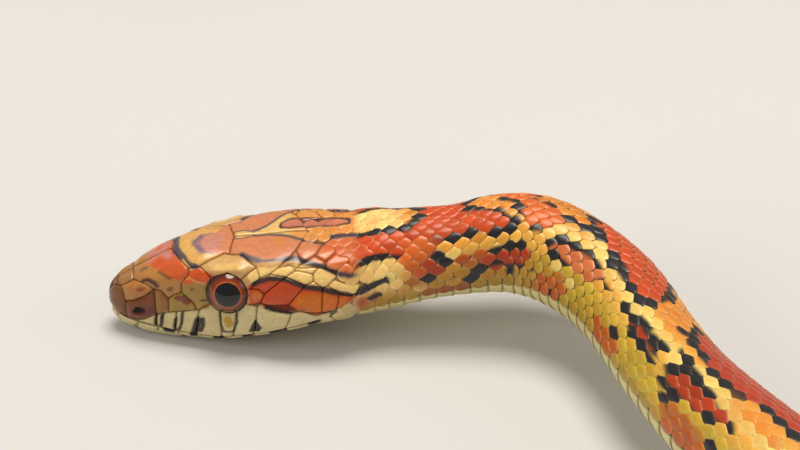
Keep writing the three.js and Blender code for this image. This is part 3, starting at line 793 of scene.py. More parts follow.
def paint_repeats(colour, i, m):
    """Saddles, side blotches and low spots behind the stretch in view."""
    start = smooth(*REPEATS_START, i)
    row_scale = SIDE_ROWS / np.interp(i, *zip(*ROWS_AT))
    turn, d = repeats(i)
    rows = np.abs(m - wobble(turn, 1, 0.7))
    length = SADDLE_HALF_LENGTH + wobble(turn, 2, 0.45)
    reach = SADDLE_ROWS + wobble(turn, 3, 0.5)
    inner = (np.abs(d / length) ** 2.6 + np.abs(rows / reach) ** 2.4) ** (1 / 2.5)
    distance = (inner - 1) * np.minimum(length * ROW_TO_INDEX, reach)
    round_it = np.arctan2(rows, d * ROW_TO_INDEX)
    distance = distance + 0.3 * np.sin(3 * round_it + turn * 2.1) + 0.2 * np.sin(7 * round_it + turn * 4.7)
    border = np.abs(distance + 0.25) - 0.5 * row_scale ** 0.5
    colour = lay_over(colour, "saddle", start * edge_of(distance, 0.1))
    colour = lay_over(colour, "black", start * edge_of(border, 0.12))
    side_turn, side_d = repeats(i - PERIOD / 2)
    half_length, half_rows = BLOTCH_HALF_SIZE
    side_rows = np.abs(m) - BLOTCH_ROW - wobble(side_turn, 4, 0.3)
    side = np.hypot(side_d * ROW_TO_INDEX / half_length, side_rows / half_rows) - 1
    border = np.abs(side * half_rows + 0.15) - 0.38
    colour = lay_over(colour, "dull red", start * edge_of(side, 0.05))
    colour = lay_over(colour, "black", start * edge_of(border, 0.06))
    half_length, half_rows = LOW_SPOT_HALF_SIZE
    low = np.hypot(d * ROW_TO_INDEX / half_length, (np.abs(m) - LOW_SPOT_ROW) / half_rows) - 1
    return lay_over(colour, "black", 0.9 * start * edge_of(low, 0.1))


def stretched(points):
    """Points with index steps turned into row steps."""
    return [(i * ROW_TO_INDEX, m) for i, m in points]


def paint_view(colour, i, m):
    """The markings of the stretch in view. Low ones are the same on both sides."""
    x, y = i * ROW_TO_INDEX, m
    for a, b, c, d, half in PALE_SPOTS:
        distance = line_distance(x, y, stretched([(a, b), (c, d)])) - half
        colour = lay_over(colour, "pale yellow", 0.9 * edge_of(distance, 0.15))
    for name, points in SIDE_BLOTCHES:
        distance = shape_distance(x, np.abs(y), stretched(points))
        colour = lay_over(colour, name, edge_of(distance, 0.15))
        colour = lay_over(colour, "black", edge_of(np.abs(distance - 0.1) - 0.22, 0.06))
    for name, border, points in SADDLES:
        distance = shape_distance(x, y, stretched(points))
        colour = lay_over(colour, name, edge_of(distance, 0.06))
        colour = lay_over(colour, "black", edge_of(np.abs(distance + 0.05) - border, 0.06))
    for name, soft, points in PATCHES:
        sided = y if name in ("saddle orange", "ground orange") else np.abs(y)
        colour = lay_over(colour, name, edge_of(shape_distance(x, sided, stretched(points)), soft))
    for a, b, c, d, half in DASHES:
        sided = np.abs(y) if b > MIRRORED_FROM_ROW else y
        distance = line_distance(x, sided, stretched([(a, b), (c, d)])) - half
        colour = lay_over(colour, "black", edge_of(distance, 0.06))
    return colour


def paint_body(i, m):
    """Colour of the body at an index and a row."""
    colour = ground(i, m)
    near = i < VIEW_END
    if near.any():
        colour[near] = paint_view(colour[near], i[near], m[near])
    return paint_repeats(colour, i, m)


HEAD_PAINT_END = 24.0


def paint(s, t):
    """Colour of any point of the animal above the belly plates."""
    s, t = np.broadcast_arrays(np.asarray(s, float), np.asarray(t, float))
    share = share_of(s, t)
    body = paint_body(index(s), row_of(share))
    front = s < HEAD_PAINT_END + 0.5
    if front.any():
        head = paint_head(s[front], t[front])
        blend = smooth(HEAD_PAINT_END - 0.5, HEAD_PAINT_END + 0.5, s[front])[..., None]
        body[front] = head * (1 - blend) + body[front] * blend
    return body


def make_mesh(name, points, faces, colour, uv, material):
    """points in mm. faces is a list of arrays of vertex numbers, one array for each face size."""
    mesh = bpy.data.meshes.new(name)
    points = np.asarray(points, float) * MM
    mesh.vertices.add(len(points))
    mesh.vertices.foreach_set("co", points.astype(np.float32).ravel())
    corners = np.concatenate([f.ravel() for f in faces])
    sizes = np.concatenate([np.full(len(f), f.shape[1]) for f in faces])
    starts = np.concatenate([[0], np.cumsum(sizes)[:-1]])
    mesh.loops.add(len(corners))
    mesh.loops.foreach_set("vertex_index", corners.astype(np.int32))
    mesh.polygons.add(len(sizes))
    mesh.polygons.foreach_set("loop_start", starts.astype(np.int32))
    mesh.update(calc_edges=True)
    mesh.polygons.foreach_set("use_smooth", np.ones(len(sizes), bool))
    paint_layer = mesh.color_attributes.new("Paint", "FLOAT_COLOR", "POINT")
    rgba = np.concatenate([colour, np.ones((len(colour), 1))], 1).astype(np.float32)
    paint_layer.data.foreach_set("color", rgba.ravel())
    layer = mesh.uv_layers.new(name="OFBake")
    layer.data.foreach_set("uv", np.asarray(uv, np.float32)[corners].ravel())
    if mesh.validate(verbose=False):
        print("mesh repaired:", name)
    mesh.materials.append(material)
    piece = bpy.data.objects.new(name, mesh)
    bpy.context.collection.objects.link(piece)
    return piece


def unwrap(s, v, s_range):
    """A place on the unwrapped skin between two stations, in a unit square."""
    across = 0.5 + 0.48 * np.asarray(v)
    along = 0.02 + 0.96 * (np.asarray(s) - s_range[0]) / (s_range[1] - s_range[0])
    return np.stack([along, across], -1)


# Materials.
def new_material(name):
    """An empty material and its shader."""
    material = bpy.data.materials.new(name)
    material.use_nodes = True
    return material, material.node_tree.nodes["Principled BSDF"]


def set_inputs(node, inputs):
    """Links each named input to a socket, or sets it to a constant."""
    for key, value in inputs.items():
        if isinstance(value, bpy.types.NodeSocket):
            node.id_data.links.new(value, node.inputs[key])
        else:
            node.inputs[key].default_value = value


def add_node(material, kind, output, inputs, **settings):
    """Adds a node and gives its output socket."""
    node = material.node_tree.nodes.new("ShaderNode" + kind)
    for key, value in settings.items():
        setattr(node, key, value)
    set_inputs(node, inputs)
    return node.outputs[output]


def paint_material(name, roughness, grain, grain_size, coat):
    """Glossy scale: painted colour with a fine procedural grain in colour, gloss and relief."""
    material, shader = new_material(name)
    colour = add_node(material, "Attribute", "Color", {}, attribute_name="Paint")
    where = add_node(material, "TexCoord", "Object", {})
    noise = add_node(material, "TexNoise", "Fac", {"Vector": where, "Scale": grain_size, "Detail": 4})
    level = add_node(material, "MapRange", "Result", {
        "Value": noise, "From Min": 0.3, "From Max": 0.7, "To Min": 1 - grain, "To Max": 1 + grain * 0.6})
    gloss = add_node(material, "MapRange", "Result", {
        "Value": noise, "To Min": roughness - 0.07, "To Max": roughness + 0.1})
    bump = add_node(material, "Bump", "Normal", {"Height": noise, "Strength": 0.12, "Distance": 0.00003})
    mix = material.node_tree.nodes.new("ShaderNodeMix")
    mix.data_type = "RGBA"
    mix.blend_type = "MULTIPLY"
    set_inputs(mix, {"Factor": 1, "A": colour, "B": level})
    set_inputs(shader, {
        "Base Color": mix.outputs["Result"],
        "Roughness": gloss,
        "Normal": bump,
        "Coat Weight": coat,
        "Coat Roughness": 0.18,
        "Specular IOR Level": 0.38,
    })
    return material


SCALE_MATERIAL = paint_material("scale", 0.36, 0.10, 2600, 0.18)
PLATE_MATERIAL = paint_material("head_plate", 0.30, 0.07, 1800, 0.35)
SKIN_MATERIAL = paint_material("skin", 0.55, 0.16, 3000, 0.0)
BELLY_MATERIAL = paint_material("belly_plate", 0.34, 0.06, 1500, 0.25)


# The skin.
SKIN_COLUMNS = 96
SKIN_DARKNESS = 0.28


def eye_axis(side):
    """The direction that an eye looks in: the surface's normal at its middle."""
    return slopes(np.array([EYE_AT]), np.array([side * EYE_LINE]))[2][0]


EYE_AXES = {side: eye_axis(side) for side in (1, -1)}
EYES = {side: surface(EYE_AT, side * EYE_LINE) - EYE_INSET * axis for side, axis in EYE_AXES.items()}
RING_COUNT = 180


def eye_ring(side, count):
    """Where rays over the surface from the eye's middle leave the eyeball's room, and how far they go."""
    angle = 2 * np.pi * np.arange(count) / count
    low, high = np.zeros(count), np.full(count, 4.0)
    for _ in range(24):
        reach = (low + high) / 2
        s = EYE_AT + reach * np.cos(angle)
        t = side * (EYE_LINE + reach * np.sin(angle) / HEAD_LINE_SPAN(EYE_AT))
        inside = np.linalg.norm(surface(s, t) - EYES[side], axis=-1) < EYE_RADIUS + EYE_CLEARANCE
        low, high = np.where(inside, reach, low), np.where(inside, high, reach)
    return s, t, low


def around_axis(offset, axis):
    """Direction round an axis, angle away from it and the two directions across it."""
    first = np.cross(axis, (0, 0, 1.0))
    first /= np.linalg.norm(first)
    second = np.cross(axis, first)
    length = np.maximum(np.linalg.norm(offset, axis=-1), 1e-9)
    turn = np.arctan2(offset @ second, offset @ first)
    tilt = np.arccos(np.clip(offset @ axis / length, -1, 1))
    return turn, tilt, first, second


def into_sockets(points):
    """Turns the skin over each eye inside out, into a cup behind it."""
    for side, centre in EYES.items():
        axis = EYE_AXES[side]
        s, t, _ = eye_ring(side, RING_COUNT)
        ring_turn, ring_tilt, first, second = around_axis(surface(s, t) - centre, axis)
        order = np.argsort(ring_turn)
        offset = points - centre
        turn, tilt, _, _ = around_axis(offset, axis)
        limit = np.interp(turn, ring_turn[order], ring_tilt[order], period=2 * np.pi)
        inside = (np.linalg.norm(offset, axis=-1) < 2 * EYE_RADIUS) & (tilt < limit)
        angle = np.pi - (np.pi - limit) * tilt / limit
        out = first * np.cos(turn)[..., None] + second * np.sin(turn)[..., None]
        cup = centre + SOCKET_RADIUS * (out * np.sin(angle)[..., None] + axis * np.cos(angle)[..., None])
        points = np.where(inside[..., None], cup, points)
    return points


def skin_stations():
    """Where the skin's rings are: close on the head, then 0.6 mm and 3 mm apart."""
    head = np.linspace(np.sqrt(0.03), np.sqrt(26), 120) ** 2
    near = np.arange(26.4, 108, 0.6)
    rest = np.arange(110, TOTAL_LENGTH, 3.0)
    return np.concatenate([head, near, rest, [TOTAL_LENGTH]])


def skin_relief(s, t):
    """The crease of the mouth, in mm over the skin."""
    size = np.abs(t)
    mouth = np.exp(-((size - 3.06) / 0.06) ** 2) * smooth(0.3, 1.5, s) * smooth(23, 21, s)
    return -0.18 * mouth


def tube_quads(number):
    """Faces between the rows of a grid of vertex numbers whose columns close into rings."""
    right = np.roll(number, -1, 1)
    return np.stack([number[:-1], right[:-1], right[1:], number[1:]], -1).reshape(-1, 4)


def build_skin():
    """One closed skin, darker than the scales on it."""
    s = skin_stations()
    t = np.linspace(-6, 6, 2 * SKIN_COLUMNS + 1)[:-1]
    grid_s, grid_t = np.meshgrid(s, t, indexing="ij")
    shrink = np.minimum(1, half_width(grid_s) / 1.2)
    normal = slopes(np.maximum(grid_s, 0.06), grid_t)[2]
    height = (skin_relief(grid_s, grid_t) - SKIN_DEPTH) * shrink
    points = into_sockets(surface(grid_s, grid_t) + normal * height[..., None])
    points[..., 2] = np.maximum(points[..., 2], 0.05)
    rows, columns = grid_s.shape
    number = np.arange(rows * columns).reshape(rows, columns)
    share = share_of(grid_s, grid_t)
    colour = paint(grid_s, grid_t).reshape(-1, 3) * SKIN_DARKNESS
    belly = smooth(LAST_ROW_SHARE - 0.01, LAST_ROW_SHARE + 0.02, np.abs(share)).reshape(-1, 1)
    colour = colour * (1 - belly) + linear("belly") * 0.6 * belly
    uv = unwrap(grid_s, share, (0, TOTAL_LENGTH)).reshape(-1, 2)
    nose = number[0][None]
    tip = number[-1][::-1][None]
    faces = [tube_quads(number), nose, tip]
    return make_mesh("skin", points.reshape(-1, 3), faces, colour, uv, SKIN_MATERIAL)


# Head plates: named corners as s and t, and each plate as the corners it runs round.
CORNERS = {
    "m1": (0.25, 0), "m2": (2.1, 0), "m3": (5.9, 0), "m4": (12.1, 0), "m5": (19.4, 0),
    "r1": (0.9, 1.05), "r2": (1.3, 2.15), "r3": (1.3, 2.7), "r4": (1.5, 3.0), "r0": (0.12, 0.5),
    "i1": (2.2, 0.8), "b1": (2.1, 2.05), "b2": (3.1, 1.85), "n1": (4.2, 1.5), "n2": (4.3, 2.15),
    "n3": (4.35, 2.48), "c1": (2.6, 2.92), "d0": (4.9, 1.6), "d1": (5.6, 1.9), "d2": (5.6, 2.35),
    "k0": (6.2, 1.75), "k1": (6.9, 1.7), "k3": (6.9, 1.4), "k4": (7.6, 1.15), "k5": (7.6, 0.93),
    "f1": (6.6, 0.5), "f2": (6.1, 0.15), "k6": (8.0, 2.0), "k2": (8.4, 2.2), "p1": (8.7, 0.9),
    "f3": (9.8, 0.7), "f4": (11.2, 0.5), "f5": (11.6, 0.55), "s1": (12.9, 0.6), "s2": (13.6, 0.8),
    "s3": (14.3, 0.95), "q1": (13.4, 1.15), "q2": (14.6, 1.3), "q3": (14.1, 1.42), "q4": (13.7, 1.6),
    "q5": (14.4, 1.6), "q6": (15.0, 1.75), "q7": (14.6, 2.0), "q8": (13.6, 2.06), "h1": (15.5, 1.2),
    "h2": (16.4, 1.0), "h3": (17.5, 0.75), "h4": (18.1, 0.57), "h5": (18.8, 0.3), "a1": (17.1, 1.3),
    "a3": (18.1, 1.12), "a4": (17.6, 0.95), "a5": (19.0, 1.55), "a6": (17.3, 2.1), "a7": (15.2, 2.08),
    "a8": (20.7, 1.65), "a9": (20.6, 2.6), "a10": (18.4, 2.35), "a11": (19.8, 1.25),
    "a12": (19.8, 1.45), "a13": (20.3, 1.05), "a14": (18.2, 1.05), "b3": (18.8, 0.9),
    "b4": (20.0, 0.72), "b5": (20.8, 0.42), "b6": (22.0, 0.5), "b7": (22.1, 0.65), "b8": (21.0, 0.9),
    "b9": (21.0, 1.12), "b10": (22.3, 0.75), "b11": (23.2, 0.8), "b12": (23.5, 0.97),
    "b13": (22.1, 1.2), "b14": (22.1, 1.35), "b15": (21.2, 1.6), "b16": (21.8, 1.45),
    "b17": (24.4, 1.85), "b18": (24.0, 2.2), "b19": (22.9, 2.0), "l1": (4.4, 3.0), "l2": (6.4, 2.3),
    "l3": (6.2, 3.0), "l4": (8.6, 2.2), "l5": (8.2, 3.0), "l6": (10.65, 2.1), "l7": (10.8, 3.0),
    "l8": (12.3, 2.1), "l9": (11.9, 3.0), "l10": (14.3, 2.1), "l11": (13.9, 3.0), "l12": (17.6, 2.4),
    "l13": (17.0, 3.0), "l14": (21.4, 2.7), "l15": (21.6, 3.0), "l16": (15.6, 2.27),
    "l17": (19.2, 2.45), "e1": (11.36, 1.695), "b20": (24.1, 2.5), "b21": (23.4, 2.68),
    "b22": (22.0, 2.66), "b23": (22.2, 2.3), "b24": (22.3, 1.85), "j1": (0.1, 3.15), "j2": (0.55, 3.15),
    "j3": (0.6, 3.6), "j4": (0.5, 4.0), "j5": (2.2, 4.05), "j6": (2.6, 5.93),
}
PLATES = {
    "prefrontal": "m2 i1 n1 d0 d1 k0 k1 k3 k4 k5 f1 f2 m3",
    "internasal": "m1 m2 i1 r1 r0",
    "prenasal": "r1 i1 n1 b2 b1 r2",
    "nasal": "r2 b1 b2 n1 n2 n3 c1 r4 r3",
    "postnasal": "n1 d0 d1 d2 n3 n2",
    "loreal": "d1 k0 k1 k6 k2 l2 d2",
    "preocular": "k1 k3 k4 k5 p1 e1 l4 k2 k6",
    "supraocular": "p1 f3 f4 f5 s1 s2 s3 q1 e1",
    "postocular_upper": "q1 s3 q2 q3 q4 e1",
    "postocular_lower": "q4 q5 q6 q7 q8 e1",
    "parietal": "m4 f5 s1 s2 s3 q2 h1 h2 h3 h4 h5 m5",
    "temporal_1": "q3 q2 h1 a1 q6 q5 q4",
    "temporal_2": "q6 a1 a5 a6 a7 q7",
    "temporal_3": "a6 a5 a12 a8 a9 l17 a10",
    "temporal_4": "h1 h2 a4 a3 a1",
    "temporal_5": "a1 a3 a11 a12 a5",
    "temporal_6": "a4 a14 a13 a11 a3",
    "temporal_7": "h4 h5 b5 b4 b3",
    "temporal_8": "h3 h4 b3 a14 a4 h2",
    "temporal_9": "b4 b5 b6 b7 b8",
    "temporal_10": "b3 b4 b8 b9 a13 a14",
    "temporal_11": "a11 a13 b9 b14 b15 a8 a12",
    "temporal_12": "b8 b7 b10 b11 b12 b13 b9",
    "temporal_13": "b15 b16 b17 b18 b19",
    "temporal_14": "a8 b15 b24 b23 b22 a9",
    "temporal_15": "b24 b19 b18 b20 b21 b22 b23",
    "supralabial_1": "r4 c1 n3 l1",
    "supralabial_2": "n3 d2 l2 l3 l1",
    "supralabial_3": "l2 k2 l4 l5 l3",
    "supralabial_4": "l4 e1 l6 l7 l5",
    "supralabial_5": "l6 e1 l8 l9 l7",
    "supralabial_6": "l8 e1 q8 l10 l11 l9",
    "supralabial_7": "l10 q7 a7 l16 l12 l13 l11",
    "supralabial_8": "l12 a10 l17 l14 l15 l13",
}
FRONTAL = "m3 f2 f1 k5 p1 f3 f4 f5 m4"
ROSTRAL = "r0 r1 r2 r3 r4"
MENTAL = "j1 j2 j3 j4 j5 j6"
# Corners that lie on the eye's ring, then the plates' sizes in mm.
EYE_CORNERS = {"e1", "q1", "q4", "q8", "l6", "l8"}
PLATE_GRID = 0.15
OUTLINE_SPACING = 0.16
PLATE_RIM = 0.2
PLATE_HEIGHT = 0.12
PLATE_CROWN = 0.05
PLATE_SKIRT = 0.1
GROOVE_WIDTH = 0.09
GROOVE_DARKNESS = 0.45
SNOUT_CROWN = 0.14
BROW_LINE = 1.04
BROW_RIDGE = 0.26
TIP_HEIGHT = 0.14


def flat_of(s, t):
    """The head's rough unwrap in mm."""
    s = np.asarray(s, float)
    return np.stack([s, np.asarray(t, float) * HEAD_LINE_SPAN(s)], -1)


def from_flat(points):
    return points[:, 0], points[:, 1] / HEAD_LINE_SPAN(points[:, 0])


def densify(corners, spacing):
    """Points at an even spacing round a closed outline of s and t corners."""
    corners = np.array(corners, float)
    result = []
    for a, b in zip(corners, np.roll(corners, -1, 0)):
        count = max(1, int(np.ceil(np.linalg.norm(flat_of(*b) - flat_of(*a)) / spacing)))
        result.append(a + (b - a) * (np.arange(count) / count)[:, None])
    return np.vstack(result)


def rounded(outline, strength):
    """Softens an outline's corners."""
    for _ in range(strength):
        outline = 0.5 * outline + 0.25 * (np.roll(outline, 1, 0) + np.roll(outline, -1, 0))
    return outline


def round_eye(outline):
    """Pushes the points of an outline that are inside the eye's ring out to it."""
    side = np.sign(outline[:, 1].mean())
    reach = eye_ring(side, RING_COUNT)[2]
    x = outline[:, 0] - EYE_AT
    y = (outline[:, 1] * side - EYE_LINE) * HEAD_LINE_SPAN(EYE_AT)
    close = np.hypot(x, y) < 0.3
    x = np.where(close, 0.01 * x.mean(), x)
    y = np.where(close, 0.01 * y.mean(), y)
    angle = np.arctan2(y, x) % (2 * np.pi)
    limit = np.interp(angle, 2 * np.pi * np.arange(RING_COUNT) / RING_COUNT, reach, period=2 * np.pi)
    push = np.maximum(limit / np.maximum(np.hypot(x, y), 1e-6), 1)
    line = side * (EYE_LINE + y * push / HEAD_LINE_SPAN(EYE_AT))
    return np.stack([EYE_AT + x * push, line], -1)


HEAD_RANGE = (0, 26)
# The rim round each eye, in mm.
RIM_TUBE = 0.1
RIM_HEIGHT = 0.08
RIM_SIDES = 10


def add_eye_rim(batch, side):
    """A thin dark rim of skin where the eye meets the plates."""
    s, t, _ = eye_ring(side, 96)
    middle_line = skin_point(s, t, np.full(len(s), RIM_HEIGHT))
    axis = EYE_AXES[side]
    offset = middle_line - EYES[side]
    outward = offset - (offset @ axis)[:, None] * axis
    outward /= np.linalg.norm(outward, axis=-1, keepdims=True)
    turn = 2 * np.pi * np.arange(RIM_SIDES) / RIM_SIDES
    ring = outward[:, None] * np.cos(turn)[None, :, None] + axis * np.sin(turn)[None, :, None]
    points = middle_line[:, None] + RIM_TUBE * ring
    number = np.arange(len(s) * RIM_SIDES).reshape(len(s), RIM_SIDES)
    quads = tube_quads(np.vstack([number, number[:1]]))[:, ::int(side)]
    colour = np.broadcast_to(linear("eye rim"), (number.size, 3))
    uv = unwrap(s, share_of(s, t), HEAD_RANGE).repeat(RIM_SIDES, 0)
    batch.add(points.reshape(-1, 3), [quads], colour, uv)


class Batch:
    """Collects pieces of one mesh."""

    def __init__(self):
        self.points, self.colours, self.uvs, self.count = [], [], [], 0
        self.faces = {}

    def add(self, points, faces, colour, uv):
        for group in faces:
            self.faces.setdefault(group.shape[1], []).append(group + self.count)
        self.points.append(points)
        self.colours.append(colour)
        self.uvs.append(uv)
        self.count += len(points)

    def finish(self, name, material):
        faces = [np.concatenate(groups) for groups in self.faces.values()]
        points, colours, uvs = (np.vstack(part) for part in (self.points, self.colours, self.uvs))
        return make_mesh(name, points, faces, colours, uvs, material)


def plate_relief(s, t, distance):
    """Height over the skin at a distance from the plate's edge, domed on the snout and with a brow."""
    rim = 1 - np.clip(distance / PLATE_RIM, 0, 1)
    crown = PLATE_CROWN + SNOUT_CROWN * smooth(6.5, 4.5, s) * smooth(3.1, 2.9, np.abs(t))
    ridge = np.exp(-((np.abs(t) - BROW_LINE) / 0.11) ** 2) * smooth(8.9, 10.2, s) * smooth(13.6, 12.4, s)
    height = PLATE_HEIGHT * (1 - rim ** 2.2) + crown * smooth(0, 0.9, distance) + 0.015
    return height + BROW_RIDGE * ridge + TIP_HEIGHT * smooth(1.6, 0.3, s) * smooth(3.4, 3.0, np.abs(t))


def nostril_pit(s, t):
    """Depth of the nostril, in mm."""
    x, y = np.asarray(s) - 2.7, (np.abs(t) - 2.43) * 2.6
    narrow = np.exp(-(x ** 2 / 0.34 + y ** 2 / 0.1) ** 2)
    wide = np.exp(-((x - 0.5) ** 2 / 0.9 + y ** 2 / 0.25))
    return 0.42 * narrow + 0.16 * wide


def tip_point(s, t, height):
    """skin_point, with the normal turned straight ahead at the very tip."""
    course = math.radians(SNOUT_HEADING)
    ahead = np.array((-math.cos(course), -math.sin(course), 0))
    share = smooth(0.0, 0.35, s)[:, None]
    normal = slopes(np.maximum(s, 0.06), t)[2] * share + ahead * (1 - share)
    normal /= np.linalg.norm(normal, axis=-1, keepdims=True)
    return surface(s, t) + normal * (height - SKIN_DEPTH)[:, None]


def fill_outline(flat):
    """Points and triangles of a closed outline, with an even lattice inside it."""
    low, high = flat.min(0), flat.max(0)
    xs = np.arange(low[0], high[0], PLATE_GRID)
    ys = np.arange(low[1], high[1], PLATE_GRID * 0.87)
    grid_x, grid_y = np.meshgrid(xs, ys, indexing="ij")
    grid_x = grid_x + (np.arange(len(ys)) % 2) * PLATE_GRID / 2
    inside = shape_distance(grid_x, grid_y, flat) < -PLATE_GRID * 0.55
    points = np.vstack([flat, np.stack([grid_x[inside], grid_y[inside]], -1)])
    loop = list(range(len(flat)))
    result = delaunay_2d_cdt([Vector(p) for p in points], [], [loop], 1, 1e-6)
    triangles = np.array([list(f) for f in result[2] if len(f) == 3])
    return np.array([tuple(p) for p in result[0]]), triangles


def border_of(triangles):
    """Vertex numbers in order round a patch of triangles."""
    edges = {}
    for a, b, c in triangles:
        edges.update({(a, b): True, (b, c): True, (c, a): True})
    border = [edge for edge in edges if (edge[1], edge[0]) not in edges]
    follow = dict(border)
    chain = [border[0][0]]
    while follow[chain[-1]] != chain[0] and len(chain) <= len(border):
        chain.append(follow[chain[-1]])
    return np.array(chain)


def add_plate(batch, corners, around_eye=False, folded=False):
    """A closed plate. A folded one goes round the tip of the snout, with s below 0 on its right half."""
    outline = rounded(densify(corners, OUTLINE_SPACING), 2)
    if around_eye:
        outline = round_eye(outline)
    flat = flat_of(outline[:, 0], outline[:, 1])
    flat_points, triangles = fill_outline(flat)
    s, t = from_flat(flat_points)
    if folded:
        s, t = np.abs(s), np.where(s < 0, -t, t)
    distance = -shape_distance(flat_points[:, 0], flat_points[:, 1], flat)
    inward = np.maximum(distance, 0)
    point_at = tip_point if folded else skin_point
    top = point_at(s, t, plate_relief(s, t, inward) - nostril_pit(s, t))
    colour = paint(s, t) * (1 - GROOVE_DARKNESS * smooth(GROOVE_WIDTH, 0.0, inward)[:, None])
    chain = border_of(triangles)
    under = point_at(s[chain], t[chain], np.full(len(chain), -PLATE_SKIRT))
    ring = len(top) + np.arange(len(chain))
    quads = np.stack([np.roll(chain, -1), chain, ring, np.roll(ring, -1)], -1)
    faces = [triangles, quads, ring[::-1][None]]
    largest = triangles[np.argmax(distance[triangles].sum(1))]
    a, b, c = top[largest]
    outward = slopes(s[largest[:1]], t[largest[:1]])[2][0]
    if np.dot(np.cross(b - a, c - a), outward) < 0:
        faces = [face[:, ::-1] for face in faces]
    uv = unwrap(s, share_of(s, t), HEAD_RANGE)
    colour = np.vstack([colour, colour[chain]])
    batch.add(np.vstack([top, under]), faces, colour, np.vstack([uv, uv[chain]]))
    return flat


def corner_list(names, side=1):
    return [(CORNERS[name][0], CORNERS[name][1] * side) for name in names]


def chin_plates():
    """Outlines of the lower jaw's plates on the left side."""
    outlines = []
    cuts = [0.6, 2.6, 4.6, 6.6, 8.8, 11.2, 13.8, 16.8, 20.6]
    for a, b in zip(cuts[:-1], cuts[1:]):
        outlines.append([(a, 3.12), (b, 3.12), (b - 0.2, 3.95), (a - 0.1, 3.95)])
    outlines.append([(2.4, 4.0), (7.0, 4.0), (7.2, 5.95), (2.8, 5.95)])
    outlines.append([(7.1, 4.0), (11.6, 4.0), (12.4, 5.6), (7.3, 5.95)])
    for k in range(6):
        a = 12.0 + k * 2.0
        outlines.append([(a, 5.0), (a + 1.0, 5.95), (a + 2.2, 5.9), (a + 1.8, 5.0)])
        outlines.append([(a - 0.2, 4.0), (a + 1.8, 4.0), (a + 1.9, 4.95), (a + 0.1, 4.95)])
    return outlines


def build_head_plates():
    """Plates of the upper head in one piece and of the lower jaw in another."""
    covered = []
    upper, lower = Batch(), Batch()
    for side in (1, -1):
        for plate in PLATES.values():
            names = plate.split()
            around_eye = not EYE_CORNERS.isdisjoint(names)
            covered.append(add_plate(upper, corner_list(names, side)[::side], around_eye))
        add_eye_rim(upper, side)
        for outline in chin_plates():
            add_plate(lower, [(s, t * side) for s, t in outline])
    left = corner_list(FRONTAL.split())
    covered.append(add_plate(upper, left + [(s, -t) for s, t in left[::-1] if t > 0]))
    for plate, batch in ((ROSTRAL, upper), (MENTAL, lower)):
        left = corner_list(plate.split())
        add_plate(batch, left + [(-s, t) for s, t in left[::-1]], folded=True)
    return upper, lower, covered


def place_piece(piece, nodes):
    """Says which part of the frame a piece moves with and stands for."""
    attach(piece, "root")
    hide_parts(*nodes)


NECK_AND_BODY = [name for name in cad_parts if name.startswith(("neck", "trunk", "tail"))]
FLESH = ["head", "lower_jaw"] + NECK_AND_BODY


# Small scales.
# Half sizes are in lattice steps, heights in mm. Scales are fullest behind BODY_RISE and on the nape.
OUTLINE_POWER = 1.5
SCALE_HALF_LENGTH = 0.6
SCALE_HALF_WIDTH = 0.88
SIZE_SPREAD = 0.04
TURN_SPREAD = 2.5
BODY_RISE = (46, 75)
NAPE_FALL = (30, 24)
FULL_STEP = 3.0
DOME = 0.13
TILT = 0.06
KEEL = 0.035
SCALE_SKIRT = 0.12
TUCK = 0.13
SCALE_SINK = 0.1
THIN_TAIL = 2.2
# Paint of a scale: channel shares for its pale rim, which is partly a painted highlight, for its core and
# warmer ones, and what counts as black.
PALE_RIM_AND_HIGHLIGHT = np.array((0.92, 0.68, 0.36))
CORE_DEPTH = np.array((0.12, 0.45, 0.7))
WARM_DEPTH = np.array((0.05, 0.35, 0.6))
BLACK_BELOW = 0.12
SEAM_DARKNESS = 0.68
PATCH_SIZE = 0.8


def disc(spokes, rings):
    """A unit scale: x to the rear, y to the left, r from the middle, and its faces."""
    angle = 2 * np.pi * np.arange(spokes) / spokes
    reach = (np.abs(np.cos(angle)) ** OUTLINE_POWER + np.abs(np.sin(angle)) ** OUTLINE_POWER)
    reach = reach ** (-1 / OUTLINE_POWER)
    x, y, r = [0.0], [0.0], [0.0]
    for radius in rings:
        x.extend(radius * reach * np.cos(angle))
        y.extend(radius * reach * np.sin(angle))
        r.extend([radius] * spokes)
    x.extend(reach * np.cos(angle))
    y.extend(reach * np.sin(angle))
    r.extend([1.0] * spokes)
    ring = 1 + np.arange(spokes)
    after = 1 + (np.arange(spokes) + 1) % spokes
    fan = np.stack([np.zeros(spokes, int), ring, after], -1)
    quads = []
    for k in range(len(rings)):
        near, far = k * spokes, (k + 1) * spokes
        quads.append(np.stack([ring + near, ring + far, after + far, after + near], -1))
    bottom = (ring + len(rings) * spokes)[::-1][None]
    skirt = np.arange(len(x)) >= len(x) - spokes
    return np.array(x), np.array(y), np.array(r), skirt, [fan, np.concatenate(quads), bottom]


NEAR_DISC = disc(20, (0.32, 0.6, 0.8, 0.93, 1.0))
FAR_DISC = disc(12, (0.45, 0.8, 1.0))


def lattice(first, last):
    """Index, row and rows in use for every scale between two indexes."""
    cells = []
    for i in range(int(first), int(last) + 1):
        rows = int(np.interp(i, *zip(*ROWS_AT)))
        for m in range(-rows, rows + 1):
            cells.append((i + 0.5 * (m % 2), m * SIDE_ROWS / rows, SIDE_ROWS / rows))
    return np.array(cells)


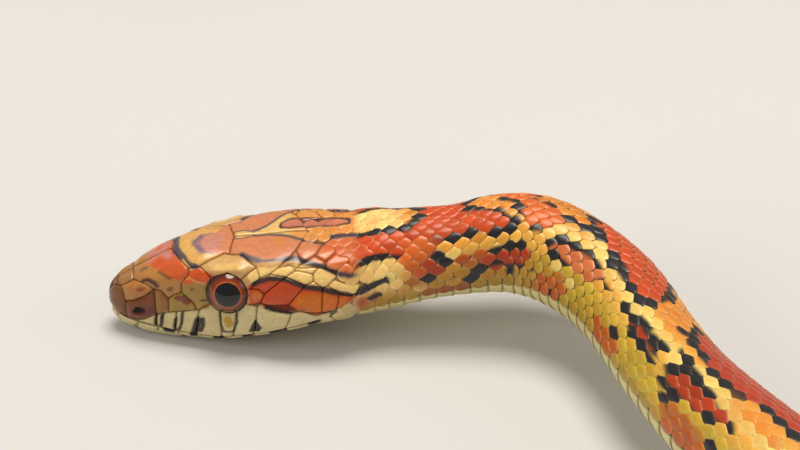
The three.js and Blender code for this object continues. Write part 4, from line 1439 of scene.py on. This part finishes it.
def clear_of(cells, covered):
    """Cells whose middles aren't on a head plate, and how far each is to be tucked under its neighbours."""
    s = station(cells[:, 0])
    t = line_of(s, row_share(cells[:, 1]))
    flat = flat_of(np.minimum(s, 25), t)
    keep = s > NECK_LATTICE_START
    front = s < 26
    for outline in covered:
        near = front & keep
        keep[near] = shape_distance(flat[near, 0], flat[near, 1], outline) > 0.03
    keep &= ~((s < 20.5) & (np.abs(t) > 2.6))
    distance = np.full(len(cells), 9.0)
    for outline in covered:
        here = shape_distance(flat[front, 0], flat[front, 1], outline)
        distance[front] = np.minimum(distance[front], here)
    return cells[keep], smooth(0.9, 0.0, distance[keep])


def lay_out(cells, unit_x, unit_y):
    """s and girth share of every point of every scale, with the surface's stretch and normal at each."""
    i, m, spread = cells.T
    s, v = station(i), row_share(m)
    along, _, normal = slopes(s, line_of(s, v))
    stretch = np.linalg.norm(along, axis=-1)
    girth = half_girth(s)
    row_step = row_share(np.abs(m) + spread) - row_share(np.maximum(np.abs(m) - spread, 0))
    row_step = row_step / np.where(np.abs(m) < spread, 1, 2) * girth
    size = 1 + SIZE_SPREAD * rng.standard_normal(len(s))
    body_share = smooth(*BODY_RISE, s)
    nape = smooth(*NAPE_FALL, s)
    bend = np.where(stretch > 1, stretch ** 0.35, stretch ** 0.6)
    length = (SCALE_HALF_LENGTH + 0.13 * body_share + 0.07 * nape) * pitch(s) * bend * size
    width = (SCALE_HALF_WIDTH + 0.04 * body_share + 0.08 * nape) * row_step * size
    turn = np.radians(TURN_SPREAD) * rng.standard_normal(len(s))
    slim = body_share[:, None] * np.clip(np.abs(unit_x), 0, 1)[None] ** 1.5
    across = unit_y[None] * (1 - 0.42 * slim)
    x = unit_x[None] * np.cos(turn)[:, None] - across * np.sin(turn)[:, None]
    y = unit_x[None] * np.sin(turn)[:, None] + across * np.cos(turn)[:, None]
    s_at = np.clip(s[:, None] + x * (length / stretch)[:, None], 0.1, TOTAL_LENGTH)
    return s_at, v[:, None] + y * (width / girth)[:, None], stretch, normal


def scale_heights(s, m, stretch, tucked, template):
    """Height of every point: domed, lifted to the rear, keeled along the back and with a skirt."""
    unit_x, unit_y, r, skirt, _ = template
    small = np.minimum(1, pitch(s) / FULL_STEP)[:, None]
    body = 0.5 + 0.5 * small
    flatter = (1 - 0.45 * smooth(*NAPE_FALL, s))[:, None]
    dome = (DOME * body + 0.05 * small) * flatter * (1 - np.abs(r[None]) ** 2.3)
    bunch = np.clip(1 - stretch, 0, 0.5)[:, None]
    tilt = TILT + 0.08 * small + 0.3 * bunch
    keel = KEEL * small * np.exp(-(unit_y[None] / 0.1) ** 2) * smooth(0.95, 0.5, r)[None]
    keel = keel * (smooth(8, 5, np.abs(m)) * smooth(110, 160, s))[:, None]
    edge_drop = 0.05 * smooth(0.86, 1.0, r)[None]
    height = dome + tilt * unit_x[None] * np.abs(r[None]) + keel - edge_drop - 0.03 + 0.03 * bunch
    height = np.where(skirt[None], height - SCALE_SKIRT, height) - TUCK * tucked[:, None]
    return height * np.minimum(1, half_width(s) / THIN_TAIL)[:, None]


def scale_colours(s, v, s_at, v_at, m, template):
    """The body's paint with a pale rim to the front and above, partly a painted highlight, a deep core and
    a dark seam.
    """
    unit_x, unit_y, r, skirt, _ = template
    pull = (0.2 + 0.7 * smooth(29, 24, s))[:, None]
    paint_s = s[:, None] + (s_at - s[:, None]) * pull
    paint_v = v[:, None] + (v_at - v[:, None]) * pull
    colour = paint(paint_s, line_of(paint_s, paint_v))
    # Painted highlight: the rim is lighter to the front and on the side that faces up, over the scale's own
    # pale edge.
    upper = -np.sign(m)[:, None] * unit_y[None]
    light = smooth(0.66, 0.95, r)[None] * np.clip(0.55 - 0.5 * unit_x[None] + 0.4 * upper, 0, 1)
    bright = colour.max(-1)
    black = bright < BLACK_BELOW
    rim_and_highlight_strength = np.where(black, 0.10, 0.42)
    colour = colour + (PALE_RIM_AND_HIGHLIGHT - colour) * (light * rim_and_highlight_strength)[..., None]
    core = smooth(0.75, 0.1, r)[None] * np.where(black, 0.0, 0.34)
    colour = colour * (1 - core[..., None] * CORE_DEPTH)
    warm = np.clip(rng.uniform(-0.25, 0.4, (len(s), 1, 1)), 0, 1) * (bright > 0.3)[..., None]
    colour = colour * (1 - warm * WARM_DEPTH)
    shade = 1 + 0.07 * rng.standard_normal((len(s), 1, 1))
    seam = 1 - SEAM_DARKNESS * np.where(skirt, 1, smooth(0.94, 1.0, r))[None, :, None]
    return np.clip(colour * shade * seam, 0.002, 1)


def scale_mesh(name, cells, tucked, template, s_range):
    """All the scales of a stretch as one piece."""
    unit_x, unit_y, _, _, faces = template
    s, m, v = station(cells[:, 0]), cells[:, 1], row_share(cells[:, 1])
    s_at, v_at, stretch, normal = lay_out(cells, unit_x, unit_y)
    base = surface(s_at, line_of(s_at, v_at)) - normal[:, None] * SCALE_SINK
    height = scale_heights(s, m, stretch, tucked, template)
    points = base + normal[:, None] * height[..., None]
    colour = scale_colours(s, v, s_at, v_at, m, template)
    offset = (np.arange(len(s)) * len(unit_x))[:, None, None]
    all_faces = [(f[None] + offset).reshape(-1, f.shape[1]) for f in faces]
    patch_s = s[:, None] + (s_at - s[:, None]) * PATCH_SIZE
    patch_v = v[:, None] + (v_at - v[:, None]) * PATCH_SIZE
    uv = unwrap(patch_s, patch_v, s_range).reshape(-1, 2)
    return make_mesh(name, points.reshape(-1, 3), all_faces, colour.reshape(-1, 3), uv, SCALE_MATERIAL)


def build_scales(covered):
    """The small scales in five pieces, finer in the two that are in view."""
    start = int(index(NECK_LATTICE_START))
    for number, end in enumerate([*SPAN_ENDS, int(LAST_INDEX)], 1):
        cells = lattice(start, end)
        tucked = np.zeros(len(cells))
        if number == 1:
            cells, tucked = clear_of(cells, covered)
        template = NEAR_DISC if end <= NEAR_END else FAR_DISC
        s_range = (float(station(start - 1)), float(station(end + 2)))
        piece = scale_mesh(f"scales_{number}", cells, tucked, template, s_range)
        place_piece(piece, FLESH)
        start = end + 1


# Belly plates: one for each index, in pairs under the tail.
PLATE_ACROSS = 26
PLATE_ALONG = (0.0, 0.3, 0.6, 0.85, 1.0)
BELLY_EDGE = 1 - (LAST_ROW_SHARE - 0.006)
BELLY_SPREAD = 3.8


def belly_colour(i, v, along):
    """Cream with dark checks in blocks, and a darker rear edge."""
    colour = np.broadcast_to(linear("belly"), i.shape + (3,)).copy()
    side = np.sign(v)
    block = np.sin(np.floor(i) * 1.7 + side * 0.9) + 0.6 * np.sin(np.floor(i) * 0.61 + side * 2.0)
    place_of = np.abs(v) - 0.88 - 0.03 * np.sin(np.floor(i) * 2.3)
    mark = smooth(0.35, 0.6, block) * smooth(0.055, 0.04, np.abs(place_of))
    some = smooth(0.2, 0.6, np.sin(np.floor(i) * 0.9))
    edge = smooth(0.95, 0.5, block) * smooth(0.79, 0.765, np.abs(v)) * some
    behind_view = smooth(VIEW_END, VIEW_END + 4, i)
    colour = lay_over(colour, "grey black", np.maximum(mark, 0.8 * edge) * behind_view)
    return colour * (1 - 0.25 * smooth(0.9, 1.0, along))[..., None]


def add_belly_plate(batch, i, around, s_range):
    """A closed plate. around is the girth share from the middle of the belly."""
    along = np.array(PLATE_ALONG)[:, None]
    bow = 0.12 * (1 - (np.abs(around) / BELLY_EDGE) ** 2)
    s_at = station(i + along * 1.12 - 0.06 + bow[None])
    v_at = np.broadcast_to(np.where(around >= 0, 1 - around, -1 - around), s_at.shape)
    t_at = line_of(s_at, v_at)
    normal = slopes(s_at, t_at)[2]
    tail = min(1.0, float(half_width(s_at[0, 0])) / THIN_TAIL)
    thin = smooth(0, 0.03, BELLY_EDGE - np.abs(around))[None]
    height = (-0.13 + 0.12 * along ** 0.7) * tail * np.ones_like(s_at) - 0.08 * (1 - thin)
    top = surface(s_at, t_at) + normal * height[..., None]
    under = surface(s_at, t_at) + normal * (height - 0.1 * tail)[..., None]
    rows, columns = s_at.shape
    number = np.arange(rows * columns).reshape(rows, columns)
    corners = [number[:-1, :-1], number[:-1, 1:], number[1:, 1:], number[1:, :-1]]
    rim = np.concatenate([number[0, :-1], number[:-1, -1], number[-1, :0:-1], number[:0:-1, 0]])
    lower = rows * columns + np.arange(len(rim))
    skirt = np.stack([np.roll(rim, -1), rim, lower, np.roll(lower, -1)], -1)
    faces = [np.stack(corners, -1).reshape(-1, 4), skirt, lower[::-1][None]]
    points = np.vstack([top.reshape(-1, 3), under.reshape(-1, 3)[rim]])
    points[:, 2] = np.maximum(points[:, 2], 0.0)
    grid_i = np.full(s_at.shape, float(i))
    colour = belly_colour(grid_i, v_at, np.broadcast_to(along, s_at.shape)).reshape(-1, 3)
    from_middle = np.where(v_at > 0, 1 - v_at, -1 - v_at)
    uv = unwrap(s_at, from_middle * BELLY_SPREAD, s_range).reshape(-1, 2)
    batch.add(points, faces, np.vstack([colour, colour[rim] * 0.6]), np.vstack([uv, uv[rim]]))


def belly_piece(name, start, end, s_range):
    """The belly plates of a stretch as one piece."""
    batch = Batch()
    left = np.linspace(0.004, BELLY_EDGE, PLATE_ACROSS // 2)
    for i in range(start, end):
        if i < VENT_INDEX:
            add_belly_plate(batch, i, np.linspace(-BELLY_EDGE, BELLY_EDGE, PLATE_ACROSS), s_range)
        else:
            add_belly_plate(batch, i, left, s_range)
            add_belly_plate(batch, i, -left[::-1], s_range)
    place_piece(batch.finish(name, BELLY_MATERIAL), FLESH)


def build_belly():
    spans = ((FIRST_BELLY_PLATE, BELLY_SPLIT), (BELLY_SPLIT, int(LAST_INDEX)))
    for number, (start, end) in enumerate(spans, 1):
        s_range = (float(station(start - 1)), float(station(end + 2)))
        belly_piece(f"belly_plates_{number}", start, end, s_range)


# Eyes. Angles are in degrees, and a ring's place is a share of EYE_SHARE_ANGLE from the pupil's middle.
PUPIL_FORWARD = 6.0
PUPIL_RISE = 16.5
EYE_SHARE_ANGLE = 60
EYE_RINGS = (
    (0.0, (4, 4, 4)), (0.545, (5, 5, 4)), (0.565, (206, 104, 40)), (0.6, (150, 60, 22)),
    (0.69, (122, 46, 16)), (0.82, (98, 34, 13)), (0.93, (60, 22, 10)), (1.0, (24, 11, 7)),
)


def eye_material(name, centre, axis):
    """Black pupil, thin orange ring, streaked red-brown iris and a dark rim, by the angle from the axis."""
    material, shader = new_material(name)
    where = add_node(material, "TexCoord", "Object", {})
    middle_at = tuple(centre * MM)
    shift = add_node(material, "VectorMath", "Vector", {0: where, 1: middle_at}, operation="SUBTRACT")
    unit = add_node(material, "VectorMath", "Vector", {0: shift}, operation="NORMALIZE")
    dot = add_node(material, "VectorMath", "Value", {0: unit, 1: tuple(axis)}, operation="DOT_PRODUCT")
    angle = add_node(material, "Math", "Value", {0: dot}, operation="ARCCOSINE")
    whole = math.radians(EYE_SHARE_ANGLE)
    share = add_node(material, "Math", "Value", {0: angle, 1: whole}, operation="DIVIDE")
    noise = add_node(material, "TexNoise", "Fac", {"Vector": where, "Scale": 2600})
    wave = add_node(material, "Math", "Value", {0: noise, 1: 0.05, 2: -0.025}, operation="MULTIPLY_ADD")
    total = add_node(material, "Math", "Value", {0: share, 1: wave}, operation="ADD")
    ramp = material.node_tree.nodes.new("ShaderNodeValToRGB")
    elements = ramp.color_ramp.elements
    elements.remove(elements[1])
    for number, (position, picked) in enumerate(EYE_RINGS):
        element = elements[0] if number == 0 else elements.new(position)
        element.position = position
        element.color = (*to_linear(picked), 1)
    set_inputs(ramp, {"Fac": total})
    set_inputs(shader, {
        "Base Color": ramp.outputs["Color"],
        "Roughness": 0.2,
        "Specular IOR Level": 0.1,
        "Coat Weight": 1.0,
        "Coat Roughness": 0.03,
    })
    return material


def build_eyes():
    """Two balls, each in its socket, with the pupil a little ahead of and over straight sideways."""
    for side, name in ((1, "eye_left"), (-1, "eye_right")):
        centre = EYES[side]
        turn, rise, course = (math.radians(a) for a in (PUPIL_FORWARD, PUPIL_RISE, SNOUT_HEADING))
        left = side * math.cos(turn) * np.array((math.sin(course), -math.cos(course), 0))
        forward = -math.sin(turn) * np.array((math.cos(course), math.sin(course), 0))
        axis = (left + forward) * math.cos(rise) + np.array((0, 0, math.sin(rise)))
        bpy.ops.mesh.primitive_uv_sphere_add(segments=64, ring_count=40, radius=EYE_RADIUS * MM)
        ball = bpy.context.object
        ball.name = f"{name}_ball"
        ball.data.transform(Vector((0, 0, 1)).rotation_difference(Vector(axis)).to_matrix().to_4x4())
        for vertex in ball.data.vertices:
            vertex.co += Vector(centre * MM)
        ball.data.shade_smooth()
        ball.data.materials.append(eye_material(f"{name}_gloss", centre, axis))
        place_piece(ball, [name])


# Stage.
def floor_material():
    """Plain, pale and dull."""
    material, shader = new_material("floor")
    noise = add_node(material, "TexNoise", "Fac", {"Scale": 60})
    tone = add_node(material, "MapRange", "Result", {"Value": noise, "To Min": 0.60, "To Max": 0.66})
    set_inputs(shader, {"Base Color": tone, "Roughness": 0.8})
    return material


# Lamps: place and diameter in metres, power in watts and colour.
LAMPS = {
    "key": ((-0.10, 0.08, 0.74), 0.44, 5.1, (1.0, 0.93, 0.82)),
    "fill": ((-0.85, -0.50, 0.50), 0.7, 3.2, (1.0, 0.96, 0.90)),
    "side": ((0.75, -0.10, 0.45), 0.6, 0.9, (1.0, 1.0, 1.0)),
}
LAMP_TARGET = (-0.09, -0.05, 0.0)
SKY = (1, 0.97, 0.92, 1)
SKY_STRENGTH = 0.32


def area_light(name, position, size, power, colour):
    data = bpy.data.lights.new(name, "AREA")
    data.shape = "DISK"
    data.size = size
    data.energy = power
    data.color = colour
    lamp = bpy.data.objects.new(name, data)
    lamp.location = position
    aim = Vector(LAMP_TARGET) - Vector(position)
    lamp.rotation_euler = aim.to_track_quat("-Z", "Y").to_euler()
    bpy.context.collection.objects.link(lamp)
    return lamp


def build_stage():
    """A plain floor, three soft lamps and a pale sky. The fill lamp leaves no reflection in the eyes."""
    bpy.ops.mesh.primitive_plane_add(size=6, location=(0, 0, 0))
    floor = bpy.context.object
    floor.name = "floor"
    floor.data.materials.append(floor_material())
    lamps = {name: area_light(name, *values) for name, values in LAMPS.items()}
    lamps["fill"].visible_glossy = False
    world = bpy.data.worlds.new("studio")
    world.use_nodes = True
    set_inputs(world.node_tree.nodes["Background"], {"Color": SKY, "Strength": SKY_STRENGTH})
    bpy.context.scene.world = world


def build_camera():
    """The photograph's framing: level from side to side, looking down at the head from its left."""
    elevation = math.radians(CAMERA_ELEVATION)
    forward = np.array((0, math.cos(elevation), -math.sin(elevation)))
    up = np.array((0, math.sin(elevation), math.cos(elevation)))
    right = np.array((1.0, 0, 0))
    aim = place(*AIM_AT)
    across = (IMAGE_WIDTH / 2 - AIM_PIXEL[0]) / PIXELS_PER_MM
    above = (AIM_PIXEL[1] - IMAGE_HEIGHT / 2) / PIXELS_PER_MM
    look = aim + across * right + above * up
    data = bpy.data.cameras.new("camera")
    data.sensor_width = SENSOR
    data.lens = SENSOR * CAMERA_DISTANCE / (IMAGE_WIDTH / PIXELS_PER_MM)
    data.clip_start = 0.01
    data.clip_end = 20
    camera = bpy.data.objects.new("camera", data)
    camera.location = Vector((look - forward * CAMERA_DISTANCE) * MM)
    camera.rotation_euler = (math.radians(90 - CAMERA_ELEVATION), 0, 0)
    bpy.context.collection.objects.link(camera)
    bpy.context.scene.camera = camera


def build():
    """Everything in the scene."""
    bpy.context.scene.view_settings.view_transform = "Standard"
    build_camera()
    build_stage()
    place_piece(build_skin(), FLESH)
    upper, lower, covered = build_head_plates()
    place_piece(upper.finish("head_plates", PLATE_MATERIAL), FLESH)
    place_piece(lower.finish("jaw_plates", BELLY_MATERIAL), ["lower_jaw"])
    build_scales(covered)
    build_belly()
    build_eyes()


build()
